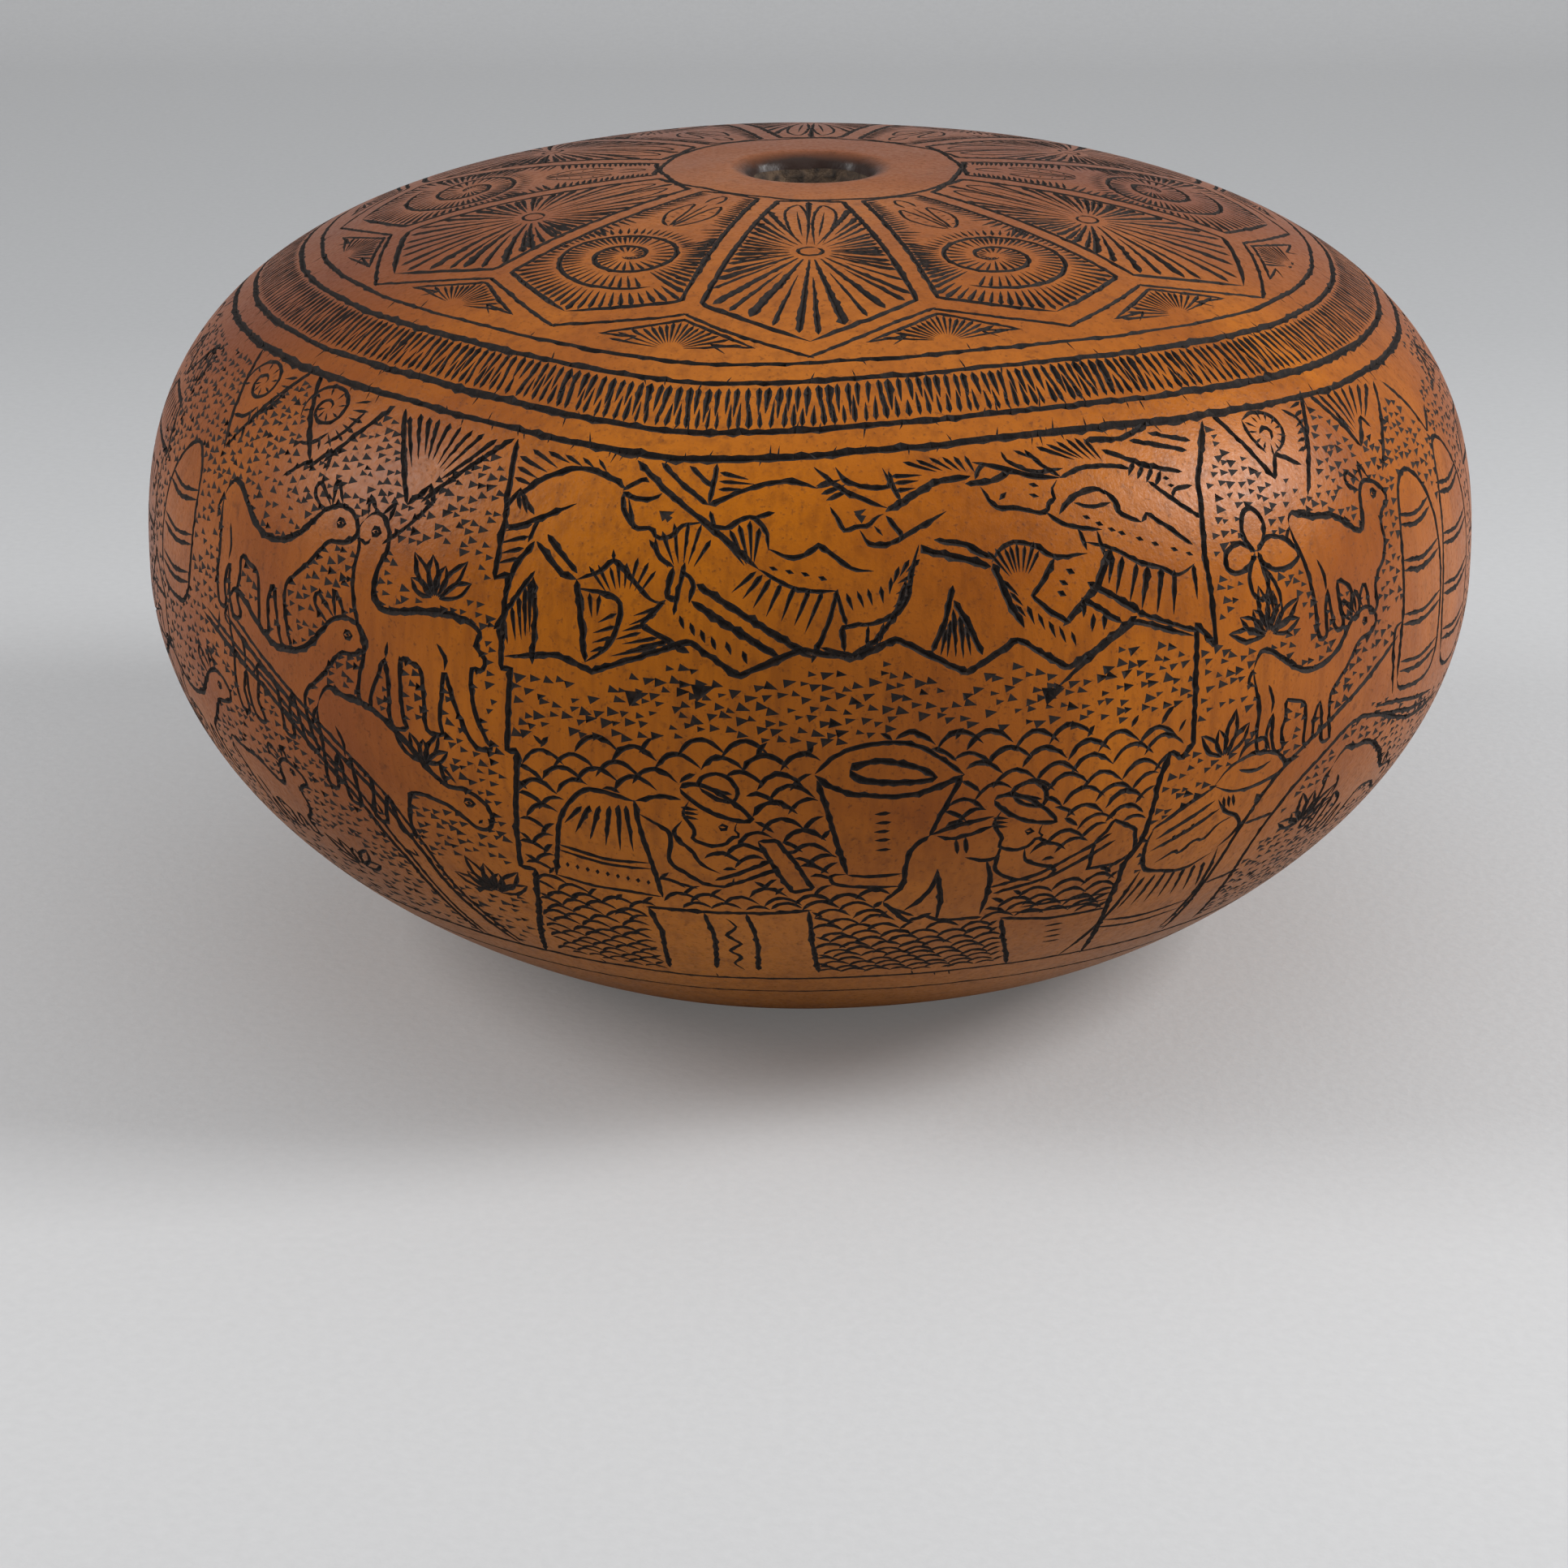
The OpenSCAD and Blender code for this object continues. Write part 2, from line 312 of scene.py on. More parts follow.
def wobble(x):
    """How far the hand let the ring lines drift, in chart millimetres."""
    places = np.array([-220, -150, -110, -80, -50, -34, -22, -12, 0, 12, 34, 55, 75, 95, 130, 175, 220])
    drift = np.array([0, 0.4, 0.9, 1.7, 1.9, 0.9, -0.8, -1.4, -0.6, 0.7, 1.1, -0.4, -1.3, -1.2, 0.3, -0.6, 0])
    return np.interp(x, places, drift, period=FULL_TURN)


# The six rings round the gourd: chart height, width, and the share of its steps with a stray tick.
RINGS = {
    "ring_star": (44.1, 0.45, 0.05),
    "ring_hatch_top": (40.8, 0.62, 0.15),
    "ring_hatch_foot": (33.5, 0.68, 0.2),
    "ring_panel_top": (30.2, 0.74, 0.3),
    "ring_panel_foot": (-35.2, 0.5, 0.05),
    "ring_foot": (-41.4, 0.4, 0.0),
}


def ring_line(kind, y, width, ticks):
    """A hand-cut ring that closes on itself, with slips of the graver across it."""
    n = int(FULL_TURN / stretch(y) / 0.7)
    x = np.linspace(SEAM, SEAM + FULL_TURN, n)
    soft = np.convolve(np.pad(wobble(x), 12, mode="wrap"), np.ones(25) / 25, "valid")
    level = y + soft + 0.12 * np.sin(x * 0.35) * np.sin(x * 0.11)
    level[-1] = level[0]
    path = np.stack([x, level], 1)
    side = np.tile([0.0, 1.0], (n, 1))
    half = 0.5 * width * stretch(level) * (1 + 0.22 * np.sin(x * 0.09 + y) * np.sin(x * 0.031))
    jag = 1 + 0.22 * rng.uniform(-1, 1, (2, n))
    jag += (rng.random((2, n)) < 0.2) * rng.uniform(0.2, 0.8, (2, n))
    jag[:, 0] = jag[:, -1] = 1
    half[-1] = half[0]
    cuts.append((path, half * jag[0], half * jag[1], side, kind))
    for i in range(3, n - 3):
        if rng.random() < ticks:
            up = rng.choice([-1, 1])
            k = float(stretch(level[i]))
            tip = (x[i] + rng.uniform(-0.5, 0.5) * k, level[i] + up * rng.uniform(0.6, 1.5) * k)
            cut([(x[i], level[i]), tip], 0.22, (0.1, 0.8), 0.1, kind=kind)


def engrave_rings():
    for kind, (y, width, ticks) in RINGS.items():
        ring_line(kind, y, width, ticks)


def engrave_hatch_band():
    """Strokes down from the band's upper ring and up from its lower one, in turn."""
    x = SEAM + 0.6
    while x < SEAM + FULL_TURN - 1.4:
        top = RINGS["ring_hatch_top"][0] + wobble(x) - 0.6
        foot = RINGS["ring_hatch_foot"][0] + wobble(x) + 0.6
        tall = (top - foot) * rng.uniform(0.58, 0.86)
        lean = rng.uniform(-0.25, 0.25)
        cut([(x, top), (x + lean, top - tall)], rng.uniform(0.46, 0.72), (0.06, 0.7), 0.2, kind="hatch")
        x2 = x + 0.56 + rng.uniform(-0.12, 0.12)
        tall = (top - foot) * rng.uniform(0.4, 0.7)
        cut([(x2, foot), (x2 - lean, foot + tall)], rng.uniform(0.4, 0.62), (0.06, 0.7), 0.2, kind="hatch")
        x += 1.12 + rng.uniform(-0.12, 0.2)


def placed(x, y, size=1.0, flip=1):
    """Moves a figure's points to its place and size on the chart."""
    return lambda points: [(x + flip * size * a, y + size * b) for a, b in points]


def shape(points, width=0.55, per=4, rough=0.24):
    """A closed outline, cut all the way round; gives its line for keeping other marks out."""
    line = curve(points, per, closed=True)
    cut(looped(line), width, (0.03, 0.03), rough)
    return line


def stroke(points, width=0.5, per=4, taper=(0.2, 0.25)):
    cut(curve(points, per), width, taper)


def straight(points, width=0.6, taper=(0.06, 0.08)):
    cut(points, width, taper, 0.26)


def star_cut(points, width, taper, rough=0.2):
    cut(points, width, taper, rough, kind="star")


def settled(points):
    """Lets the star's foot follow the drift of the ring under it."""
    p = np.array(points, float)
    weight = np.clip((78 - p[:, 1]) / 26, 0, 1)
    return np.stack([p[:, 0], p[:, 1] + wobble(p[:, 0]) * weight], 1)


def to_edge(x, y, angle, region, share):
    """The point just short of a region's outline, in one direction."""
    d = np.array([math.cos(angle), math.sin(angle)])
    steps = np.arange(0.5, 60, 0.4)
    line = np.array([x, y]) + steps[:, None] * d
    out = np.flatnonzero(~inside(line, region))
    return np.array([x, y]) + d * steps[out[0] if len(out) else -1] * share


CELL_TOP = 126.0


def cell_outline(cx, corner_y, tip_y):
    """One cell of the star: its sides run up the slope, with a plain strip between cells."""
    heights = np.array([corner_y, 70, 82, 94, 106, 117, CELL_TOP])
    half = CELL / 2 - 1.05 * stretch(heights)
    right = np.stack([cx + half, heights], 1)
    left = np.stack([cx - half, heights], 1)[::-1]
    return settled(np.vstack([[(cx, tip_y)], right, [(cx, CELL_TOP + 2.6)], left]))


def star_kite(cx, eye_turn):
    """Flower in a kite: wedge rays from the outline in, and two long petals towards the stem."""
    region = cell_outline(cx, 57.5, 48.6)
    star_cut(looped(region), 0.85, (0.02, 0.02), 0.25)
    fx, fy = cx, 78.8
    petals = []
    for side in (-1, 1):
        at = placed(cx, 0, 1, side)
        petals.append(at([(0.9, 82.5), (0.6, 100), (2.2, 114), (5.2, 121), (8.6, 112), (6.4, 97), (2.8, 84)]))
        star_cut(curve(petals[-1], 4), 0.45, (0.15, 0.15))
        star_cut(curve(at([(2.0, 88), (3.6, 102), (4.7, 112)]), 4), 0.35, (0.3, 0.5))
    eye = [(fx + 2.7 * math.cos(a),
            fy + 2.3 * math.sin(a)) for a in np.radians(np.arange(0, 360, 45) + eye_turn)]
    star_cut(looped(curve(eye, 4, closed=True)), 0.5, (0.02, 0.02))
    turns = np.arange(0, 360, 7.6) + rng.uniform(-1.5, 1.5, 48)
    for i, a in enumerate(np.radians(turns)):
        far = to_edge(fx, fy, a, region, 0.96)
        halfway = far * 0.5 + np.array([fx, fy]) * 0.5
        if any(inside(halfway, petal)[0] for petal in petals):
            continue
        length = math.hypot(far[0] - fx, far[1] - fy)
        near = 4.4 if i % 2 else max(5.0, length * 0.42)
        if length < near + 2:
            continue
        start = (fx + math.cos(a) * near, fy + math.sin(a) * near)
        low = math.sin(a) < 0
        star_cut([far, start], (1.3 if low and i % 2 else 0.95) * rng.uniform(0.8, 1.15), (0.05, 0.95), 0.22)
        if low and i % 2:
            beside = (fx + math.cos(a + 0.05) * near, fy + math.sin(a + 0.05) * near)
            star_cut([beside, far * 0.6 + np.array(start) * 0.4], 0.35, (0.3, 0.6))


def star_spiral(cx, flip):
    """Snail spiral with rayed turns, a leaf above it, rays from the outline in."""
    region = cell_outline(cx, 57.8, 50.6)
    star_cut(looped(region), 0.8, (0.02, 0.02), 0.25)
    sx, sy = cx, 71.6
    turn = np.linspace(0, 2.2 * TAU, 120)
    radius = 1.4 + 14.2 * (turn / turn[-1]) ** 1.1
    at = turn - 2.13
    spiral = settled(np.stack([sx + flip * radius * np.cos(at), sy + 0.88 * radius * np.sin(at)], 1))
    bearing = np.arctan2(spiral[:, 1] - sy, spiral[:, 0] - sx)
    spread = np.hypot(spiral[:, 0] - sx, spiral[:, 1] - sy)

    def clear(a):
        """How far the snail reaches in one direction."""
        return spread[np.cos(bearing - a) > 0.985].max()

    star_cut(spiral, 0.75, (0.08, 0.05), 0.25)
    step = 6
    while step < 119:
        out = spiral[step]
        toward = np.array([sx, sy]) - out
        reach = np.linalg.norm(toward)
        gap = min(4.9, reach * 0.7) * rng.uniform(0.8, 1.0)
        star_cut([out, out + toward / reach * gap], rng.uniform(0.5, 0.8), (0.05, 0.9), 0.15)
        step += 3 if step < 40 else 2 if step < 85 else 1
    for a in np.radians(np.arange(-178, 180, 4.9)):
        far = to_edge(sx, sy, a, region, 0.975)
        near = clear(a) + 0.9
        length = math.hypot(far[0] - sx, far[1] - sy)
        if length < near + 0.7 or math.sin(a) > 0.62:
            continue
        start = (sx + math.cos(a) * near, sy + math.sin(a) * near)
        star_cut([far, start], rng.uniform(0.7, 1.05), (0.05, 0.9), 0.2)
    for y in np.arange(69, 124, 1.9):
        for side in (-1, 1):
            edge = to_edge(cx, y, 0 if side > 0 else math.pi, region, 0.975)
            reach = rng.uniform(5.2, 6.8) if y > 88 else rng.uniform(3.4, 4.6)
            tip = (edge[0] - side * reach, y - 1.2 + (y > 90) * 2.6)
            off_x, off_y = tip[0] - sx, tip[1] - sy
            if y < 90 and math.hypot(off_x, off_y) < clear(math.atan2(off_y, off_x)) + 0.8:
                continue
            star_cut([edge, tip], rng.uniform(0.6, 0.95), (0.05, 0.9), 0.2)
    for a in np.radians(np.arange(34, 147, 7.5)):
        near = clear(a) + 1.0
        start = (sx + math.cos(a) * near, sy + math.sin(a) * near)
        tip = (sx + math.cos(a) * (near + 4), sy + math.sin(a) * (near + 4))
        if inside([tip], region)[0]:
            star_cut([start, tip], rng.uniform(0.5, 0.75), (0.06, 0.85), 0.2)
    for lean in (-1, 1):
        at = placed(cx, 0, 1, lean)
        leaf = at([(0.6, 89.5), (4.8, 93.5), (7.6, 101), (5.2, 110), (2.6, 103), (1.2, 94)])
        star_cut(looped(curve(leaf, 4, closed=True)), 0.45, (0.03, 0.03))
        for t in (0.25, 0.45, 0.65, 0.85):
            base = np.array([cx + lean * (0.8 + 4.2 * t), 88 + 18 * t])
            star_cut([base, base + [lean * 2.0, 0.4]], 0.4, (0.1, 0.8))
    bud = curve([(cx - 2.2, 112), (cx - 2.8, 118), (cx, 123), (cx + 2.8, 118), (cx + 2.2, 112)], 4)
    star_cut(bud, 0.45, (0.1, 0.1))
    star_cut([(cx, 90), (cx, 111)], 0.4, (0.2, 0.3))


def star_foot():
    """Zigzag round the star and half a sun in each of the small triangles under it."""
    corners = []
    for i in range(12):
        cx = SEAM + CELL * (i + 0.5)
        corners += [(cx - CELL / 2, 54.6), (cx, 47.0 if i % 2 else 45.4)]
    corners.append((corners[0][0] + FULL_TURN, corners[0][1]))
    for a, b in zip(np.array(corners[:-1]), np.array(corners[1:])):
        line = settled(sampled([a - (b - a) * 0.02, b + (b - a) * 0.03], 1.0))
        star_cut(line, 0.62, (0.04, 0.06), 0.25)
    for i in range(12):
        bx = SEAM + CELL * i
        tri = settled([(bx - 10.6, 47.6), (bx + 0.4, 53.2), (bx + 11.2, 47.4)])
        star_cut(tri, 0.6, (0.1, 0.1), 0.25)
        for side in (-1, 1):
            at = placed(bx, 0, 1, side)
            star_cut(settled(at([(11.0, 47.5), (5.2, 48.2), (7.4, 46.4)])), 0.45, (0.1, 0.3))
        sun_y = 46.6 + wobble(bx)
        rays_in = np.vstack([tri, [(bx + 8, 45.6), (bx - 8, 45.6)]])
        for a in np.radians(np.linspace(8, 172, 17)):
            far = to_edge(bx, sun_y, a, rays_in, 0.93)
            near = (bx + math.cos(a) * 1.8, sun_y + math.sin(a) * 1.4)
            star_cut([far, near], rng.uniform(0.45, 0.75), (0.08, 0.9), 0.2)


def collar_line():
    """The scalloped line round the plain collar of the stem pit."""
    n = 260
    x = np.linspace(SEAM, SEAM + FULL_TURN, n)
    y = 130.6 - 1.1 * np.abs(np.cos(x / CELL * math.pi)) + 0.3 * np.sin(x * 0.2)
    y[-1] = y[0]
    jag = 1 + 0.25 * rng.uniform(-1, 1, (2, n))
    jag[:, 0] = jag[:, -1] = 1
    half = 0.5 * 0.55 * stretch(y)
    side = np.tile([0.0, 1.0], (n, 1))
    cuts.append((np.stack([x, y], 1), half * jag[0], half * jag[1], side, "star"))


def engrave_star():
    """Twelve cells round the crown, kites and snails in turn."""
    collar_line()
    star_foot()
    for i in range(12):
        cx = SEAM + CELL * (i + 0.5)
        if i % 2 == 0:
            star_kite(cx, 10 * i)
        else:
            star_spiral(cx, 1 if i % 4 == 1 else -1)


LEFT_POST = [(-32, 29.6), (-30.6, 21), (-30.6, 15), (-29.2, 15.6), (-29.3, 8.9), (-29.3, 6.6), (-28.3, 6.8),
             (-28.8, -1.4),
             (-27.7, -1.2), (-28.1, -4.4), (-29.6, -15.2), (-28, -15.4), (-29.5, -21.9), (-33.7, -35)]
RIGHT_POST = [(45.2, 29.8), (41.2, 23.4), (39.7, 16.5), (40, 7.2), (37.9, 9.8), (37.6, 4), (37.6, -2),
              (36.4, -3.2),
              (35.2, -2.2), (34.2, -5), (33.8, -12), (32.5, -15), (32.7, -21), (34.8, -35)]
HILLS = [(-29, 7.8), (-23.7, 8.6), (-20.2, 7.4), (-11, 10.9), (-6.5, 7.8), (-0.9, 10.4), (3.9, 9.6),
         (8, 11.3), (14.4, 7.8),
         (19.4, 10.6), (24.1, 7.4), (31.2, 11), (37.6, 8.6)]
POT = [(0.6, -1.6), (2.6, 0.5), (6, 1.5), (10, 1.0), (14.2, -1.8), (12.3, -5.6), (11.2, -8.4), (9.6, -10),
       (9.2, -12.9),
       (9.2, -14.6), (4.4, -14.6), (2.2, -14.1), (2.6, -13.1), (3.7, -13), (2.2, -7)]
STOOPED_SKIRT = [(-25.8, -15.8), (-24.8, -12), (-24.2, -8.6), (-22.6, -5.6), (-20.4, -4.2), (-16.4, -5),
                 (-15.9, -9), (-15, -17.2), (-20, -17)]
STOOPED_BODY = [(-16.4, -5.0), (-11.8, -3.0), (-9.4, -1.2), (-6.3, -3.2), (-5.3, -6.6), (-7.4, -9.4),
                (-10.4, -11), (-7.4, -13.6),
                (-7.6, -15), (-10.2, -15.2), (-13.6, -13), (-15.4, -14)]
DIGGER = [(9.6, -10.1), (11.2, -8.2), (16.6, -6.8), (17.2, -4.9), (20.7, -3.6), (24.4, -8.3), (21.6, -9.8),
          (20.8, -11.6),
          (24.6, -14.4), (22, -15.4), (18.6, -13.4), (17.8, -20.6), (13.6, -20.8), (9.9, -20.6),
          (7.4, -17.4), (9.1, -14.9)]
SACK_NEAR = [(-16.6, -19.3), (0.1, -18.4), (1.1, -34), (-17.2, -34.6)]
SACK_FAR = [(20.2, -21.4), (33.2, -22.9), (34.6, -34), (24.2, -34)]


def hat_and_face(x, y, size):
    """A brimmed hat over a plain little profile, as both diggers wear it."""
    at = placed(x, y, size)
    shape(at([(-3.2, 1.3), (-1.8, -0.2), (0.6, -1.5), (3.3, -1.9), (2.4, -0.6), (0.4, 1.0), (-1.6, 1.8)]),
          0.5)
    shape(at([(-1.4, 1.5), (-1.0, 2.6), (0.6, 2.9), (2.0, 1.6), (1.7, 0.2), (0.2, 0.4)]), 0.42)
    stroke(at([(-0.8, 1.5), (1.6, 0.9)]), 0.35)
    stroke(at([(-2.4, 0.0), (-3.0, -1.4), (-2.0, -3.2), (-2.2, -4.2), (-0.6, -4.9), (0.8, -4.6),
               (1.4, -3.8), (2.2, -3.6), (1.7, -2.9), (2.0, -2.0)]), 0.42)
    for k in range(3):
        straight(at([(-3.2, -0.7 - 0.45 * k), (-1.6, -0.9 - 0.5 * k)]), 0.42, (0.1, 0.5))
    shape(at([(0.2, -2.6), (0.7, -2.4), (1.1, -2.7), (0.6, -3.0)]), 0.3, 3)


def pleats(points_from, points_to, width=0.55):
    """Tapered strokes from each point of one row to its partner in the other."""
    for a, b in zip(points_from, points_to):
        cut([a, b], width * rng.uniform(0.85, 1.2), (0.12, 0.7), 0.18)


def dashes(points, width=0.5, length=1.0, angle=90):
    """Short marks along a line, for hems and bundles."""
    d = np.array([math.cos(math.radians(angle)), math.sin(math.radians(angle))]) * length / 2
    for p in points:
        cut([np.array(p) + d, np.array(p) - d], width, (0.3, 0.5), 0.2)


def between(a, b, n):
    return [(a[0] + (b[0] - a[0]) * t, a[1] + (b[1] - a[1]) * t) for t in np.linspace(0, 1, n)]


def digging_pair():
    """The lower field: a woman with a pick, a pot, a man with a spade, and two full sacks."""
    stroke([(-25.8, -15.8), (-24.9, -12), (-24.2, -8.6), (-22.6, -5.6), (-20.4, -4.2), (-16.2, -5.1)], 0.6,
           taper=(0.08, 0.1))
    stroke([(-16.4, -4.9), (-15.9, -9), (-15.2, -13), (-14.8, -17.4)], 0.62, taper=(0.05, 0.1))
    stroke([(-26, -15.6), (-22, -16.6), (-18.5, -16.9), (-14.8, -17.3)], 0.4)
    stroke([(-24.7, -11.2), (-20, -12.4), (-15.5, -12.4)], 0.42)
    stroke([(-24.9, -11.9), (-20, -13.1), (-15.4, -13.2)], 0.35)
    dashes(between((-24.2, -13.9), (-16, -15.2), 9), 0.42, 0.75, 80)
    pleats([(-17.2, -5.6), (-17.9, -5.6), (-18.8, -5.8), (-19.8, -5.9), (-20.8, -6), (-21.6, -6.2)],
           [(-17, -11), (-18.3, -11), (-19.7, -10.6), (-21.2, -10), (-22.6, -9.4), (-23.6, -8.4)])
    stroke([(-16.3, -5), (-14, -4.3), (-11.9, -4.5)], 0.5)
    stroke([(-16, -6.4), (-14.4, -7.4), (-13.1, -8.6), (-13.5, -11.8), (-11.8, -13.6), (-9.9, -14.9),
            (-7.7, -14.9), (-7.3, -13.7)], 0.5)
    stroke([(-11.9, -6.8), (-12.8, -8.4), (-11.2, -10.4), (-10.4, -12), (-8.6, -13.2)], 0.42)
    stroke([(-14, -14.6), (-11, -15.6)], 0.35)
    hat_and_face(-8.7, -4.6, 1.02)
    straight([(-9.2, -14.2), (-6.6, -12.9), (-3.4, -11.1)], 0.5)
    straight([(-8.4, -15), (-6.0, -13.9), (-3.0, -12.3)], 0.5)
    head = [(-4.8, -8.8), (-3, -8.6), (-1.2, -11.6), (0.4, -15), (-1.6, -15.6), (-3.2, -12.4)]
    cut(looped(head), 0.5, (0.04, 0.04))
    straight([(-3, -8.6), (-2.2, -10.2), (-0.9, -9.8)], 0.4)
    stroke([(0.5, -1.4), (2.6, 0.5), (6, 1.5), (10, 1.1), (14.3, -1.9)], 0.45, taper=(0.06, 0.06))
    stroke([(0.5, -1.5), (2.6, -3), (6, -3.7), (10, -3.6), (14.3, -1.9)], 0.65, taper=(0.06, 0.06))
    shape([(3.7, -1.0), (6, -0.2), (9.5, -0.8), (11.6, -2.1), (8, -2.4), (5, -2)], 0.75)
    stroke([(0.7, -2), (1.6, -5), (2.8, -9.6), (3.7, -13)], 0.62, taper=(0.06, 0.08))
    stroke([(14.1, -2), (12.4, -5.6), (11.3, -8.4)], 0.55, taper=(0.06, 0.08))
    stroke([(3.7, -13), (6, -13.3), (9, -13)], 0.45)
    stroke([(3.6, -12.9), (2.2, -13.1), (2.4, -14.2), (5, -14.8), (9.1, -14.8)], 0.45)
    dashes([(6.8, -5.6), (6.9, -6.6), (6.8, -7.6), (6.9, -8.6), (7, -9.8)], 0.4, 1.5, 4)
    stroke([(11.3, -8.3), (9.8, -9.8), (9.3, -12), (9.1, -14.8), (7.4, -17.2)], 0.6, taper=(0.06, 0.1))
    straight([(7.4, -17.2), (10.2, -20.8), (12.6, -19.4)], 0.6)
    straight([(7.8, -18), (10.8, -19.8)], 0.4)
    stroke([(11.3, -8.3), (14, -7.3), (17.4, -6.6)], 0.55)
    stroke([(12, -8.4), (14, -8.8), (17.6, -7.6)], 0.4)
    stroke([(13.9, -8.9), (14.2, -10.8)], 0.4)
    stroke([(14.8, -8.7), (15.1, -10.8)], 0.4)
    stroke([(15, -11.3), (17, -11.9), (18.6, -11.5)], 0.42)
    stroke([(18.4, -10.2), (18.3, -13.4), (20.6, -15), (22.4, -15.4)], 0.45)
    stroke([(20.9, -10.9), (21.4, -12.6), (24.6, -14.2), (23.4, -16)], 0.45)
    stroke([(12.4, -12.6), (12.7, -14.4), (13.2, -17.2), (13.2, -20.8)], 0.6)
    stroke([(12.4, -12.8), (12.2, -15), (11, -17.2), (9.6, -18.8)], 0.55)
    stroke([(17.2, -11.9), (18, -15), (17.8, -20.4)], 0.6)
    straight([(11.6, -19.6), (13.6, -20.9), (18.2, -20.9)], 0.5)
    hat_and_face(20.4, -6.1, 0.98)
    straight([(18, -15.9), (23, -14.6), (30, -10.4)], 0.42)
    straight([(18.6, -16.9), (24, -15.4), (30.6, -11.4)], 0.42)
    blade = [(28.2, -11.2), (28.4, -14.9), (31.6, -14.8), (33.2, -13.4), (32.6, -10.4), (29.9, -8.8),
             (29.2, -10.2)]
    cut(looped(blade), 0.42, (0.04, 0.04))
    straight([(-16.9, -19.3), (-10, -19.4), (-4, -19.1), (0.3, -18.4)], 0.55)
    straight([(-16.6, -19.3), (-15.9, -24), (-16.9, -34)], 0.55)
    straight([(0, -18.5), (0.3, -24), (1.2, -33.4)], 0.55)
    stroke([(-10.8, -19.6), (-10.2, -25), (-11, -33)], 0.5, taper=(0.05, 0.05))
    stroke([(-6.4, -19.4), (-5.6, -25), (-6, -33)], 0.5, taper=(0.05, 0.05))
    stroke([(-8.6, -20.4), (-7.6, -22), (-8.8, -23.8), (-7.4, -25.6), (-8.8, -27.4), (-7.6, -29),
            (-8.6, -31), (-7.6, -33)], 0.38, 3)
    straight([(20.2, -21.4), (26, -22.8), (33, -22.6)], 0.5)
    straight([(20.4, -21.6), (22, -27), (24.4, -34)], 0.5)
    stroke([(21, -20.6), (27, -21), (32.8, -20.8)], 0.35)
    stroke([(22, -19.8), (27, -19.6), (32.6, -19.6)], 0.3)
    dashes(between((27.2, -24.4), (28.2, -28.6), 4), 0.35, 2.2, 2)


